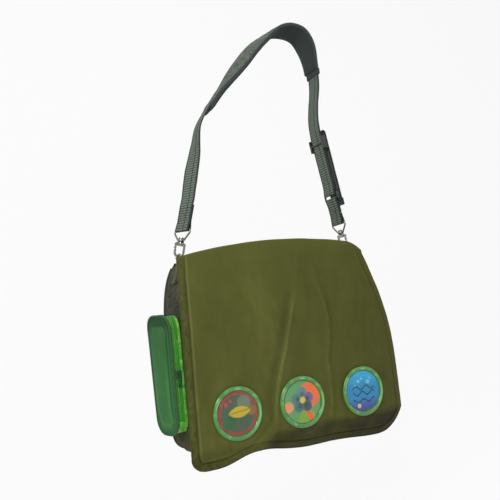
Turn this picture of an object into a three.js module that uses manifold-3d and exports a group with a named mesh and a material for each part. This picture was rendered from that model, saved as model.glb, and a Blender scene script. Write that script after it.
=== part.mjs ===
// A shoulder bag with a wide front flap, three round badges, a zipped pocket on its left
// side and an adjustable webbing strap with a shoulder pad, hanging by that pad.
// Millimetres, +X to the viewer's right, +Y away from the viewer, +Z up. The origin is on
// the underside of the shoulder pad, at the top of the strap's arch.
import * as THREE from 'three';
import { mergeVertices } from 'three/addons/utils/BufferGeometryUtils.js';
import Module from 'manifold-3d';

const wasm = await Module();
wasm.setup();

// Fits and cloths
const gap = 0.3;
const panelSkin = 2.4;
const backSkin = 6;
const gussetSkin = 2.2;
const flapSkin = 1.2;
const liningSkin = 1;
const liningInset = 1.5;
const overrun = 2;

// Bag body, measured from the level of the strap rings
const centreX = -6;
const leftHalfWidth = 190;
const leftDrawIn = 32;
const leftDrawDepth = 40;
const rightHalfWidth = 212;
const rightDrawIn = 53.6;
const rightDrawDepth = 70;
const bottomZ = -328;
const mouthZ = -14;
const backTopZ = -4;
const bodyCorner = 26;
const backY = 54;

// Flap
const flapFaceY = -55;
const flapLeft = -196;
const flapLeftSpread = 5;
const flapRight = 162;
const flapRightFlare = 62;
const flareDepth = 215;
const flapSplitZ = -16;
const hemZ = -344.5;
const hemRise = 9.5;
const hemRiseX = -80;
const hemRiseRun = 45;
const hemFall = 9.5;
const hemFallStart = 50;
const hemFallEnd = 170;
const hemLeftFall = 4.5;
const hemLeftFallStart = -120;
const hemLeftFallEnd = -185;
const leftCorner = 22;
const rightCorner = 50;
const wrapStartX = 120;
const wrapRun = 90;
const wrapDepth = 10;
const crownZ = 18;
const crownDropLeft = 22;
const crownDropRight = 9;
const shoulderX = 134;
const shoulderDrop = 12;
const foldRadius = 5;
const stripHalfWidth = 150;
const stripNeckY = -30;

// Closure patches between the flap and the front panel
const patchSkin = 1.5;
const patchWidth = 80;
const patchHeight = 25;
const patchCentreX = 60;
const patchCentreZ = -302;

// Badges
const badgeXs = [-116, 6, 132];
const badgeZ = -267.5;
const badgeRadius = 44;
const badgeHeight = 4.6;
const lensRadius = 35.5;
const badgeSkin = 1;
const printSkin = 0.6;
const domeSkin = 1.4;
const domeRise = 3;
const studRadius = 3;
const washerRadius = 9;
const washerSkin = 1.2;
const badgeBevel = 1.6;

// Side pocket on the left gusset
const pocketNearY = -40;
const pocketFarY = 30;
const pocketFarTaper = 8;
const pocketTopZ = -98;
const pocketBottomZ = -288;
const pocketCorner = 24;
const pocketSkin = 1.6;
const pocketInnerDepth = 2.2;
const pocketOuterDepth = 12.8;
const pocketCrown = 5;
const pocketNearLean = 9;
const pocketFarLean = -6;
const crownShares = [0.3, 0.6, 0.85, 1];
const pocketLip = 1;
const bindingSize = 3;
const bindingDepth = 4.2;
const tapeWidth = 2.5;
const tapeSkin = 0.8;
const coilWidth = 1.3;
const coilHeight = 1.6;
const coilSpace = 1.4;

// Zipper slider and pull
const sliderZ = -193;
const sliderLength = 12;
const sliderSkin = 1.2;
const sliderPost = 0.7;
const bridgeWidth = 2;
const bridgeSkin = 1;
const pullBar = 1.2;
const pullLength = 20;
const pullWidth = 5;
const pullHole = 1.6;

// Strap rings, tabs and their hinge line
const strapY = -5;
const ringRadius = 12;
const ringWire = 1.75;
const ringDrop = 4;
const ringBarZ = -10;
const tabHalfWidth = 9.5;
const tabSeatZ = -27;
const tabLength = 36;
const webbingSkin = 1.8;
const webbingHalfWidth = 19;
const plyFlare = 14;
const ringRoom = 1;

// Swivel hooks, measured up their own axis from the middle of the ring's wire
const hookInner = 6;
const hookPlay = 0.8;
const hookSkin = 3.4;
const hookBlockLow = 15;
const hookBlockHigh = 21;
const hookBlockHalf = 3;
const noseTop = 7;
const gateSkin = 2;
const gateWidth = 2.8;
const gatePivotHeight = 17.8;
const gateEye = 2.1;
const gateThumb = 2.6;
const thumbLowShare = 0.25;
const thumbHighShare = 0.55;
const pinRadius = 0.9;
const studShank = 2.5;
const studHead = 4.2;
const studHeadSkin = 2;
const bossRadius = 5.5;
const bossHeight = 6.5;
const eyeWire = 1.6;
const eyeBarHeight = 44;
const eyeShoulder = 6;
const eyeFootHalf = 8;
const frontTiltDegrees = 15.5;
const rearTiltDegrees = 8.9;

// Strap route, as shares of the strap's half span and of its rise above the rings
const strapSpan = 168;
const strapRise = 441;
const routeShares = [
  [-0.885, 0.236],
  [-0.851, 0.293],
  [-0.815, 0.351],
  [-0.774, 0.408],
  [-0.738, 0.472],
  [-0.696, 0.535],
  [-0.595, 0.601],
  [-0.476, 0.664],
  [-0.31, 0.739],
  [-0.143, 0.814],
  [0.03, 0.891],
  [0.19, 0.948],
  [0.357, 0.989],
  [0.536, 1],
  [0.69, 0.982],
  [0.792, 0.918],
  [0.827, 0.825],
  [0.821, 0.73],
  [0.78, 0.65],
  [0.757, 0.58],
];
const doublePly = 44;

// How far the strap's face turns towards the viewer, on the front leg and over the chest
const eyeTurnDegrees = 19;
const legTurnDegrees = 22;
const legTurnRise = 40;
const legTurnHeld = 8;
const legTurnFall = 85;
const padTurnDegrees = 16;
const padTurnStart = 250;
const padTurnRise = 95;
const padTurnHeld = 50;
const padTurnFall = 85;

// Shoulder pad along the route
const padStart = 215;
const padLength = 372;
const padLap = 40;
const padEndWidth = 44;
const padWidth = 57;
const padTaper = 60;
const foamSkin = 7;
const coverSkin = 1;
const bindingFlange = 5;
const keeperLength = 12;
const keeperSkin = 1.6;

// Rear adjuster, measured up the rear leg's axis from the middle of the ring's wire
const squareRingHeight = 97.2;
const squareRingHalf = 6.5;
const squareRingWire = 1.9;
const triGlideHeight = 203.9;
const triGlideHalf = 12;
const triGlideBar = 3;
const triGlideRail = 4;
const straightRise = 14.1;
const tailOffset = 10.5;
const tailFoldRise = 18.1;
const tailEndHeight = 78;
const tailHem = 12;
const meetShare = 0.4;

// Step counts
const arcSteps = 6;
const fewSteps = 3;
const fineSteps = 20;
const tubeSides = 8;
const flapColumns = 16;
const flapRows = 5;
const routeSpacing = 16;
const panelColumns = 16;
const panelRows = 7;

const X = new THREE.Vector3(1, 0, 0);
const Y = new THREE.Vector3(0, 1, 0);
const Z = new THREE.Vector3(0, 0, 1);
const vec = (x, y, z) => new THREE.Vector3(x, y, z);
const mix = THREE.MathUtils.lerp;
const radians = THREE.MathUtils.degToRad;
const count = (n) => Array.from({ length: n }, (_, i) => i);
const shares = (steps) => count(steps + 1).map((i) => i / steps);

// Worked out from the driving sizes
const wrapAt = (x) => (x > wrapStartX ? wrapDepth * ((x - wrapStartX) / wrapRun) ** 2 : 0);
const liningY = flapFaceY + flapSkin + gap;
const liningBackY = liningY + liningSkin;
const hookPatchY = liningBackY + gap;
const loopPatchY = hookPatchY + patchSkin + gap;
const frontY = loopPatchY + patchSkin + gap;
const ringCentreZ = ringBarZ + ringDrop;
const wireTopZ = ringCentreZ + ringRadius;
const stripSeamZ = backTopZ + flapSkin + liningSkin + 2 * gap;
const plyHalf = (webbingSkin + gap) / 2;
const straightTop = triGlideHeight + straightRise;
const tailFoldHeight = triGlideHeight + tailFoldRise;

function material(color, roughness, metalness = 0) {
  return new THREE.MeshStandardMaterial({ color, roughness, metalness });
}

const olive = material(0x5a5c30, 0.7);
const oliveDark = material(0x4a4b2b, 0.8);
const greyOlive = material(0x55564a, 0.85);
const webbingGrey = material(0x5f6c62, 0.85);
const bindingGrey = material(0x323c3a, 0.8);
const foamGrey = material(0x8b8f8c, 0.95);
const darkPlastic = material(0x2c3130, 0.5);
const steel = material(0xb9bbb6, 0.3, 1);
const pocketGreen = material(0x3c7341, 0.75);
const satinGreen = material(0x4caa2e, 0.45);
const bindingGreen = material(0x2a5530, 0.8);
const zipperGreen = material(0x2f8f3a, 0.5);
const badgeGreen = material(0x3d8a35, 0.35);
const patchOlive = material(0x3f4029, 0.95);
const printColours = [0x8a7a3a, 0xc06a35, 0x2c8fc4];
const clearDome = new THREE.MeshStandardMaterial({
  color: 0xf2f5f2,
  roughness: 0.05,
  transparent: true,
  opacity: 0.35,
});

// Faces turned outward: a closed surface of negative volume is turned inside out
function closedGeometry(points, index) {
  let volume = 0;
  for (let i = 0; i < index.length; i += 3) {
    const [a, b, c] = [points[index[i]], points[index[i + 1]], points[index[i + 2]]];
    volume += a.dot(b.clone().cross(c));
  }
  const turned = volume < 0 ? index.slice().reverse() : index;
  const geometry = new THREE.BufferGeometry();
  geometry.setAttribute('position', new THREE.Float32BufferAttribute(points.flatMap((p) => p.toArray()), 3));
  geometry.setIndex(turned);
  return geometry;
}

function welded(geometry) {
  const plain = geometry.clone();
  plain.deleteAttribute('normal');
  plain.deleteAttribute('uv');
  return mergeVertices(plain);
}

function toSolid(geometry) {
  const plain = welded(geometry);
  const vertProperties = new Float32Array(plain.getAttribute('position').array);
  const triVerts = new Uint32Array(plain.getIndex().array);
  return new wasm.Manifold(new wasm.Mesh({ numProp: 3, vertProperties, triVerts }));
}

function fromSolid(solid) {
  const mesh = solid.getMesh();
  const geometry = new THREE.BufferGeometry();
  geometry.setAttribute('position', new THREE.BufferAttribute(new Float32Array(mesh.vertProperties), 3));
  geometry.setIndex(new THREE.BufferAttribute(new Uint32Array(mesh.triVerts), 1));
  return geometry;
}

function join(...geometries) {
  return fromSolid(geometries.map(toSolid).reduce((whole, next) => whole.add(next)));
}

function cut(geometry, ...tools) {
  return fromSolid(tools.map(toSolid).reduce((whole, tool) => whole.subtract(tool), toSolid(geometry)));
}

// A section swept along stations: each has a point p and the directions a and b of its section
function sweep(stations, section, closed = false) {
  const outlineAt = typeof section === 'function' ? section : () => section;
  const points = [];
  const index = [];
  const size = outlineAt(0).length;
  stations.forEach((station, i) => {
    for (const corner of outlineAt(i)) {
      const along = station.a.clone().multiplyScalar(corner.x);
      const across = station.b.clone().multiplyScalar(corner.y);
      points.push(station.p.clone().add(along).add(across));
    }
  });
  const spans = closed ? stations.length : stations.length - 1;
  for (let i = 0; i < spans; i++) {
    const here = i * size;
    const next = ((i + 1) % stations.length) * size;
    const outline = outlineAt(i);
    for (let j = 0; j < size; j++) {
      const k = (j + 1) % size;
      // diagonals run the same way on facing layers, so that turned layers stay a clearance apart
      const rising = outline[k].x - outline[j].x || outline[k].y - outline[j].y;
      if (rising > 0) index.push(here + j, here + k, next + k, here + j, next + k, next + j);
      else index.push(here + j, here + k, next + j, here + k, next + k, next + j);
    }
  }
  if (!closed) {
    const last = (stations.length - 1) * size;
    for (const [a, b, c] of THREE.ShapeUtils.triangulateShape(outlineAt(0), [])) {
      index.push(a, c, b, last + a, last + b, last + c);
    }
  }
  return closedGeometry(points, index);
}

function rectangle(a0, a1, b0, b1) {
  const corners = [[a0, b0], [a1, b0], [a1, b1], [a0, b1]];
  return corners.map(([a, b]) => new THREE.Vector2(a, b));
}

function roundSection(radius, sides) {
  const angles = count(sides).map((i) => ((i + 1 / 2) / sides) * 2 * Math.PI);
  return angles.map((t) => new THREE.Vector2(radius * Math.cos(t), radius * Math.sin(t)));
}

// A sheet between two grids of points of the same rows and columns
function slab(front, back) {
  const rows = front.length;
  const columns = front[0].length;
  const at = (side, i, j) => (side * rows + i) * columns + j;
  const index = [];
  const quad = (a, b, c, d) => index.push(a, b, c, a, c, d);
  const last = rows - 1;
  const end = columns - 1;
  for (let i = 0; i < last; i++) {
    for (let j = 0; j < end; j++) {
      quad(at(0, i, j), at(0, i, j + 1), at(0, i + 1, j + 1), at(0, i + 1, j));
      quad(at(1, i, j), at(1, i + 1, j), at(1, i + 1, j + 1), at(1, i, j + 1));
    }
    quad(at(0, i, 0), at(0, i + 1, 0), at(1, i + 1, 0), at(1, i, 0));
    quad(at(0, i + 1, end), at(0, i, end), at(1, i, end), at(1, i + 1, end));
  }
  for (let j = 0; j < end; j++) {
    quad(at(0, 0, j + 1), at(0, 0, j), at(1, 0, j), at(1, 0, j + 1));
    quad(at(0, last, j), at(0, last, j + 1), at(1, last, j + 1), at(1, last, j));
  }
  return closedGeometry([...front.flat(), ...back.flat()], index);
}

// A round-edged plate: rings shrink to the middle, and heightAt gives each ring's outward rise
function crownedPlate(outline, middle, direction, thickness, ringShares, riseAt) {
  const size = outline.length;
  const points = [];
  for (const depth of [0, thickness]) {
    for (const share of ringShares) {
      const lift = direction.clone().multiplyScalar(riseAt(share) + depth);
      outline.forEach((p) => points.push(middle.clone().lerp(p, share).add(lift)));
    }
    points.push(middle.clone().addScaledVector(direction, riseAt(0) + depth));
  }
  const layer = ringShares.length * size + 1;
  const outer = (ringShares.length - 1) * size;
  const index = [];
  const quad = (a, b, c, d) => index.push(a, b, c, a, c, d);
  for (let j = 0; j < size; j++) {
    const k = (j + 1) % size;
    index.push(layer - 1, j, k, 2 * layer - 1, layer + k, layer + j);
    for (let i = 0; i + 1 < ringShares.length; i++) {
      const [here, next] = [i * size, (i + 1) * size];
      quad(here + j, next + j, next + k, here + k);
      quad(layer + here + j, layer + here + k, layer + next + k, layer + next + j);
    }
    quad(outer + j, layer + outer + j, layer + outer + k, outer + k);
  }
  return closedGeometry(points, index);
}

function box(x0, x1, y0, y1, z0, z1) {
  const geometry = new THREE.BoxGeometry(x1 - x0, y1 - y0, z1 - z0);
  return geometry.translate((x0 + x1) / 2, (y0 + y1) / 2, (z0 + z1) / 2);
}

function rod(radius, z0, z1, sides = fineSteps) {
  const geometry = new THREE.CylinderGeometry(radius, radius, z1 - z0, sides);
  return geometry.rotateX(Math.PI / 2).translate(0, 0, (z0 + z1) / 2);
}

function crossPin(radius, halfLength, x, z, sides = fineSteps / 2) {
  return new THREE.CylinderGeometry(radius, radius, 2 * halfLength, sides).translate(x, 0, z);
}

// A flat shape drawn in X and Z, given a thickness along Y
function flatPlate(shape, thickness) {
  const geometry = new THREE.ExtrudeGeometry(shape, {
    depth: thickness,
    bevelEnabled: false,
    curveSegments: fineSteps / 2,
  });
  return geometry.translate(0, 0, -thickness / 2).rotateX(Math.PI / 2);
}

function turned(profile, axisDirection = Y, sides = fineSteps) {
  const geometry = new THREE.LatheGeometry(profile.map(([r, h]) => new THREE.Vector2(r, h)), sides);
  return geometry.applyQuaternion(new THREE.Quaternion().setFromUnitVectors(Y, axisDirection));
}

// A wire bent in one plane into a closed loop
function wireLoop(points, planeNormal, radius) {
  const stations = points.map((p, i) => {
    const before = points[(i + points.length - 1) % points.length];
    const after = points[(i + 1) % points.length];
    const along = after.clone().sub(before).normalize();
    return { p, a: along.cross(planeNormal).normalize(), b: planeNormal };
  });
  return sweep(stations, roundSection(radius, tubeSides), true);
}

// Corner points of a convex loop rounded off: each point comes with its outward normal
function roundedLoop(corners, radius, steps = arcSteps) {
  const loop = [];
  corners.forEach((corner, i) => {
    const before = corners[(i + corners.length - 1) % corners.length];
    const after = corners[(i + 1) % corners.length];
    const toBefore = before.clone().sub(corner).normalize();
    const toAfter = after.clone().sub(corner).normalize();
    const half = toBefore.angleTo(toAfter) / 2;
    const bisector = toBefore.clone().add(toAfter).normalize();
    const centre = corner.clone().addScaledVector(bisector, radius / Math.sin(half));
    const start = corner.clone().addScaledVector(toBefore, radius / Math.tan(half)).sub(centre);
    const finish = corner.clone().addScaledVector(toAfter, radius / Math.tan(half)).sub(centre);
    const sweepAngle = start.angleTo(finish);
    for (const share of shares(steps - 1)) {
      const blendStart = Math.sin((1 - share) * sweepAngle) / Math.sin(sweepAngle);
      const blendFinish = Math.sin(share * sweepAngle) / Math.sin(sweepAngle);
      const arm = start.clone().multiplyScalar(blendStart).addScaledVector(finish, blendFinish);
      loop.push({ p: centre.clone().add(arm), out: arm.clone().normalize() });
    }
  });
  return loop;
}

function addPiece(parent, name, geometry, surface) {
  const plain = welded(geometry);
  plain.computeVertexNormals();
  const mesh = new THREE.Mesh(plain, surface);
  mesh.name = name;
  parent.add(mesh);
  return mesh;
}

// Levels down a panel: straight rows, then rows that follow a rounded bottom corner
function levels(top, bottom, radius, rows) {
  const straight = shares(rows).map((share) => mix(top, bottom + radius, share));
  const quarter = shares(arcSteps).slice(1).map((share) => (share * Math.PI) / 2);
  const round = quarter.map((angle) => bottom + radius - radius * Math.sin(angle));
  return [...straight, ...round];
}

function cornerInset(z, bottom, radius) {
  const across = Math.min(Math.max(bottom + radius - z, 0), radius);
  return radius - Math.sqrt(radius ** 2 - across ** 2);
}

// Each side of the body: how far out it is, and how its top is drawn in
const bodySides = new Map([
  [-1, { half: leftHalfWidth, draw: leftDrawIn, depth: leftDrawDepth }],
  [1, { half: rightHalfWidth, draw: rightDrawIn, depth: rightDrawDepth }],
]);

function sideX(side, z) {
  const { half, draw, depth } = bodySides.get(side);
  return centreX + side * (half - draw * Math.exp(z / depth) - cornerInset(z, bottomZ, bodyCorner));
}

function makeBody(bag) {
  const columns = shares(panelColumns);
  const panel = (zLevels, y, wrap) =>
    zLevels.map((z) =>
      columns.map((share) => {
        const x = mix(sideX(-1, z), sideX(1, z), share);
        return vec(x, y + (wrap ? wrapAt(x) : 0), z);
      }),
    );
  const frontLevels = levels(mouthZ, bottomZ, bodyCorner, panelRows);
  const backLevels = levels(backTopZ, bottomZ, bodyCorner, panelRows);
  const front = slab(panel(frontLevels, frontY, true), panel(frontLevels, frontY + panelSkin, true));
  const back = slab(panel(backLevels, backY - backSkin, false), panel(backLevels, backY, false));
  addPiece(bag, 'front_panel', front, oliveDark);
  addPiece(bag, 'back_panel', back, oliveDark);

  const strip = (points) => {
    const stations = points.map((p, i) => {
      const before = points[Math.max(i - 1, 0)];
      const after = points[Math.min(i + 1, points.length - 1)];
      return { p, a: Y.clone().cross(after.clone().sub(before)).normalize(), b: Y };
    });
    const edgeAt = (i) => frontY + panelSkin + gap + wrapAt(points[i].x);
    return sweep(stations, (i) => rectangle(-gussetSkin, 0, edgeAt(i), backY - backSkin - gap));
  };
  const sideLevels = shares(panelRows + 2).map((share) => mix(mouthZ, bottomZ + bodyCorner + gap, share));
  const leftSide = sideLevels.map((z) => vec(sideX(-1, z), 0, z));
  const rightSide = sideLevels.map((z) => vec(sideX(1, z), 0, z)).reverse();
  addPiece(bag, 'left_gusset', strip(leftSide), greyOlive);
  addPiece(bag, 'right_gusset', strip(rightSide), greyOlive);

  const corner = levels(bottomZ + bodyCorner, bottomZ, bodyCorner, 1).slice(1);
  const leftArc = corner.map((z) => vec(sideX(-1, z), 0, z));
  const rightArc = corner.map((z) => vec(sideX(1, z), 0, z)).reverse();
  addPiece(bag, 'bottom_gusset', strip([...leftArc, ...rightArc]), oliveDark);
}

// The ring of the strap, held on the gusset's outer face by a folded tab
function tabLine(side) {
  const { draw, depth } = bodySides.get(side);
  const slope = (draw / depth) * Math.exp(tabSeatZ / depth);
  const tilt = Math.atan(slope);
  const along = vec(-side * Math.sin(tilt), 0, Math.cos(tilt));
  const out = vec(side * Math.cos(tilt), 0, Math.sin(tilt));
  const seat = vec(sideX(side, tabSeatZ), strapY, tabSeatZ);
  const middle = seat.addScaledVector(out, gap + webbingSkin + gap / 2);
  const bar = middle.clone().addScaledVector(along, (ringBarZ - middle.z) / along.z);
  return { along, out, bar };
}

// How far the strap's width is turned about its own line, at a length along the route
function strapTurn(length) {
  const { smoothstep } = THREE.MathUtils;
  const legTop = doublePly + legTurnRise;
  const legFade = legTop + legTurnHeld;
  const onLeg = mix(eyeTurnDegrees, legTurnDegrees, smoothstep(length, doublePly, legTop));
  const free = 1 - smoothstep(length, legFade, legFade + legTurnFall);
  const fadeStart = padTurnStart + padTurnRise + padTurnHeld;
  const risen = smoothstep(length, padTurnStart, padTurnStart + padTurnRise);
  const onPad = risen - smoothstep(length, fadeStart, fadeStart + padTurnFall);
  return radians(onLeg * free + padTurnDegrees * onPad);
}

// Stations along points in a plane square to Y: the section's first direction runs across the
// strap, turned about the strap's line by turnAt
function laidStations(points, turnAt = () => 0) {
  return points.map((p, i) => {
    const before = points[Math.max(i - 1, 0)];
    const after = points[Math.min(i + 1, points.length - 1)];
    const along = after.clone().sub(before).normalize();
    const turn = new THREE.Quaternion().setFromAxisAngle(along, turnAt(i));
    const across = Y.clone().applyQuaternion(turn);
    return { p, a: across, b: along.clone().cross(across).normalize() };
  });
}

function ribbon(points, halfWidth, thickness, turnAt) {
  const section = rectangle(-halfWidth, halfWidth, -thickness / 2, thickness / 2);
  return sweep(laidStations(points, turnAt), section);
}

// Points of a fold round a bar, in a frame of two directions: from the minus side round to the plus side
function foldPoints(centre, out, up, radius) {
  return shares(arcSteps).map((share) => {
    const angle = Math.PI * share;
    const arm = out.clone().multiplyScalar(-radius * Math.cos(angle));
    return centre.clone().add(arm).addScaledVector(up, radius * Math.sin(angle));
  });
}

function makeRings(bag) {
  const sides = [['left', -1], ['right', 1]];
  for (const [name, side] of sides) {
    const { along, out, bar } = tabLine(side);
    const onRing = (t) => vec(0, Math.cos(t), Math.sin(t)).multiplyScalar(ringRadius);
    const ringCentre = vec(bar.x, strapY, ringCentreZ);
    const arc = shares(2 * arcSteps - 2).map((share) => onRing(Math.PI * share).add(ringCentre));
    const low = ringCentreZ - ringDrop;
    const feet = [vec(bar.x, strapY - ringRadius, low), vec(bar.x, strapY + ringRadius, low)];
    addPiece(bag, `${name}_d_ring`, wireLoop([...arc, ...feet], X, ringWire), steel);

    const wrap = ringWire + gap + webbingSkin / 2;
    const at = (a, b) => bar.clone().addScaledVector(out, a).addScaledVector(along, b);
    const fold = foldPoints(bar, out, along, wrap);
    const path = [
      at(-plyHalf, -tabLength),
      at(-plyHalf, -plyFlare / 3),
      ...fold,
      at(plyHalf, -plyFlare / 3),
      at(plyHalf, -tabLength),
    ];
    addPiece(bag, `${name}_ring_tab`, ribbon(path, tabHalfWidth, webbingSkin), greyOlive);
  }
}

// Flap: outline functions of the height or of the distance across
const flapLeftAt = (z) => flapLeft - (flapLeftSpread * z) / hemZ + cornerInset(z, hemZ, leftCorner);
const flareShare = (z) => Math.sin((Math.min(-z / flareDepth, 1) * Math.PI) / 2);
const flapRightAt = (z) => flapRight + flapRightFlare * flareShare(z) - cornerInset(z, hemZ, rightCorner);
function hemAt(x) {
  const rise = hemRise * Math.exp(-(((x - hemRiseX) / hemRiseRun) ** 2));
  const fall = hemFall * THREE.MathUtils.smoothstep(x, hemFallStart, hemFallEnd);
  const leftFall = hemLeftFall * THREE.MathUtils.smoothstep(-x, -hemLeftFallStart, -hemLeftFallEnd);
  return hemZ + rise - fall - leftFall;
}

function flapTopAt(x) {
  const arch = x < 0 ? crownDropLeft * (x / flapLeft) ** 2 : crownDropRight * (x / shoulderX) ** 2;
  const past = Math.max(x - shoulderX, 0) / (flapRightAt(flapSplitZ) - shoulderX);
  return crownZ - arch - shoulderDrop * past ** 2;
}

function flapFrontGrid(depth, inset) {
  return levels(flapSplitZ - gap, hemZ, rightCorner, flapRows).map((level) =>
    shares(flapColumns).map((share) => {
      const x = mix(flapLeftAt(level) + inset, flapRightAt(level) - inset, share);
      const down = (level - flapSplitZ) / (hemZ - flapSplitZ);
      const z = level + (hemAt(x) - hemZ + inset) * down;
      return vec(x, flapFaceY + depth + wrapAt(x), z);
    }),
  );
}

// Rows of the flap's top: back seam, narrow strip, widened shoulder, fold and front lip
function flapTopGrid(depth, inset) {
  const seamY = backY - backSkin / 2;
  const foldY = flapFaceY + foldRadius;
  const strip = shares(flapRows - 2).map((share) => ({ y: mix(seamY, stripNeckY, share), wide: 0 }));
  const neck = shares(3).slice(1).map((share) => ({ y: mix(stripNeckY, foldY, share), wide: share }));
  const flat = [...strip, ...neck].map(({ y, wide }) => ({
    wide,
    place: (x) => {
      const forward = (seamY - y) / (seamY - foldY);
      const top = mix(stripSeamZ, flapTopAt(x), Math.sin((forward * Math.PI) / 2));
      return vec(x, y + wrapAt(x) * forward, top - depth);
    },
  }));
  const fold = shares(arcSteps / 2).slice(1).map((share) => ({
    wide: 1,
    place: (x) => {
      const angle = (share * Math.PI) / 2;
      const arm = foldRadius - depth;
      const y = foldY + wrapAt(x) - arm * Math.sin(angle);
      return vec(x, y, flapTopAt(x) - foldRadius + arm * Math.cos(angle));
    },
  }));
  const lip = { wide: 1, place: (x) => vec(x, flapFaceY + depth + wrapAt(x), flapSplitZ) };
  const wideLeft = flapLeftAt(flapSplitZ) + inset;
  const wideRight = flapRightAt(flapSplitZ) - inset;
  return [...flat, ...fold, lip].map(({ wide, place }) => {
    const left = mix(centreX - stripHalfWidth + inset, wideLeft, wide);
    const right = mix(centreX + stripHalfWidth - inset, wideRight, wide);
    return shares(flapColumns).map((share) => place(mix(left, right, share)));
  });
}

const badgePlaces = badgeXs.map((x) => {
  const slope = x > wrapStartX ? (2 * wrapDepth * (x - wrapStartX)) / wrapRun ** 2 : 0;
  return { at: vec(x, flapFaceY + wrapAt(x), badgeZ), turn: Math.atan(slope) };
});

function placeBadge(geometry, { at, turn }) {
  return geometry.rotateX(Math.PI / 2).rotateZ(turn).translate(at.x, at.y, at.z);
}

function makeFlap(flapTop, flapFront) {
  const layer = (grid, from, skin, inset) => slab(grid(from, inset), grid(from + skin, inset));
  const liningDepth = flapSkin + gap;
  addPiece(flapTop, 'flap_top_cloth', layer(flapTopGrid, 0, flapSkin, 0), olive);
  addPiece(flapTop, 'flap_top_lining', layer(flapTopGrid, liningDepth, liningSkin, 0), oliveDark);
  const holes = () => badgePlaces.map((place) => {
    const deep = liningDepth + liningSkin + overrun;
    return placeBadge(rod(studRadius + gap, -overrun, deep).rotateX(Math.PI), place);
  });
  const cloth = cut(layer(flapFrontGrid, 0, flapSkin, 0), ...holes());
  const lining = cut(layer(flapFrontGrid, liningDepth, liningSkin, liningInset), ...holes());
  addPiece(flapFront, 'flap_cloth', cloth, olive);
  addPiece(flapFront, 'flap_lining', lining, oliveDark);
}

function makePatches(bag, flapFront) {
  const patch = (side, y) => {
    const grid = (depth) =>
      [-1, 1].map((row) =>
        shares(4).map((share) => {
          const x = side * patchCentreX + mix(-patchWidth, patchWidth, share) / 2;
          return vec(x, y + depth + wrapAt(x), patchCentreZ + (row * patchHeight) / 2);
        }),
      );
    return slab(grid(0), grid(patchSkin));
  };
  addPiece(flapFront, 'closure_hook_left', patch(-1, hookPatchY), patchOlive);
  addPiece(flapFront, 'closure_hook_right', patch(1, hookPatchY), patchOlive);
  addPiece(bag, 'closure_loop_left', patch(-1, loopPatchY), patchOlive);
  addPiece(bag, 'closure_loop_right', patch(1, loopPatchY), patchOlive);
}

// Badges, turned about their own axis with the height measured out from the flap's face
function makeBadges(flapFront) {
  const seat = gap + badgeSkin;
  const printTop = seat + gap + printSkin;
  const domeLow = printTop + gap;
  const studEnd = -(flapSkin + liningSkin + washerSkin + 3 * gap);
  const washerTop = -(flapSkin + liningSkin + 2 * gap);
  const base = [
    [0, studEnd],
    [studRadius, studEnd],
    [studRadius, gap],
    [badgeRadius - badgeBevel / 2, gap],
    [badgeRadius, gap + badgeBevel / 2],
    [badgeRadius, badgeHeight - badgeBevel],
    [badgeRadius - badgeBevel, badgeHeight],
    [lensRadius + badgeBevel, badgeHeight],
    [lensRadius + gap, badgeHeight - badgeBevel / 2],
    [lensRadius + gap, seat],
    [0, seat],
  ];
  const arch = shares(4).slice(0, -1).map((share) => {
    const angle = (share * Math.PI) / 2;
    return [lensRadius * Math.cos(angle), domeLow + domeSkin + domeRise * Math.sin(angle)];
  });
  const dome = [[0, domeLow], [lensRadius, domeLow], ...arch, [0, domeLow + domeSkin + domeRise]];
  const names = ['left', 'middle', 'right'];
  names.forEach((name, i) => {
    const place = badgePlaces[i];
    const surface = material(printColours[i], 0.5);
    const print = [[0, seat + gap], [lensRadius, seat + gap], [lensRadius, printTop], [0, printTop]];
    const hole = studRadius + gap;
    const washer = [
      [hole, washerTop - washerSkin],
      [washerRadius, washerTop - washerSkin],
      [washerRadius, washerTop],
      [hole, washerTop],
      [hole, washerTop - washerSkin],
    ];
    const spun = (profile) => placeBadge(turned(profile, Z), place);
    addPiece(flapFront, `${name}_badge_base`, spun(base), badgeGreen);
    addPiece(flapFront, `${name}_badge_print`, spun(print), surface);
    addPiece(flapFront, `${name}_badge_dome`, spun(dome), clearDome);
    addPiece(flapFront, `${name}_badge_washer`, spun(washer), steel);
  });
}

// Side pocket: rings and strips that follow one outline, stacked out from the gusset
const pocketLayers = (() => {
  const seat = centreX - leftHalfWidth - gap;
  const next = (from, depth) => ({ from, to: from - depth });
  const back = next(seat, pocketSkin);
  const inner = next(back.to - gap, pocketInnerDepth);
  const innerTape = next(inner.to - gap, tapeWidth);
  const innerCoil = next(innerTape.to - gap, coilWidth);
  const outerCoil = next(innerCoil.to - coilSpace, coilWidth);
  const outerTape = next(outerCoil.to - gap, tapeWidth);
  const outer = next(outerTape.to - gap, pocketOuterDepth);
  const front = next(outer.to - gap, pocketSkin);
  return { back, inner, innerTape, innerCoil, outerCoil, outerTape, outer, front };
})();
const zipperX = (pocketLayers.innerCoil.to + pocketLayers.outerCoil.from) / 2;

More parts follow.
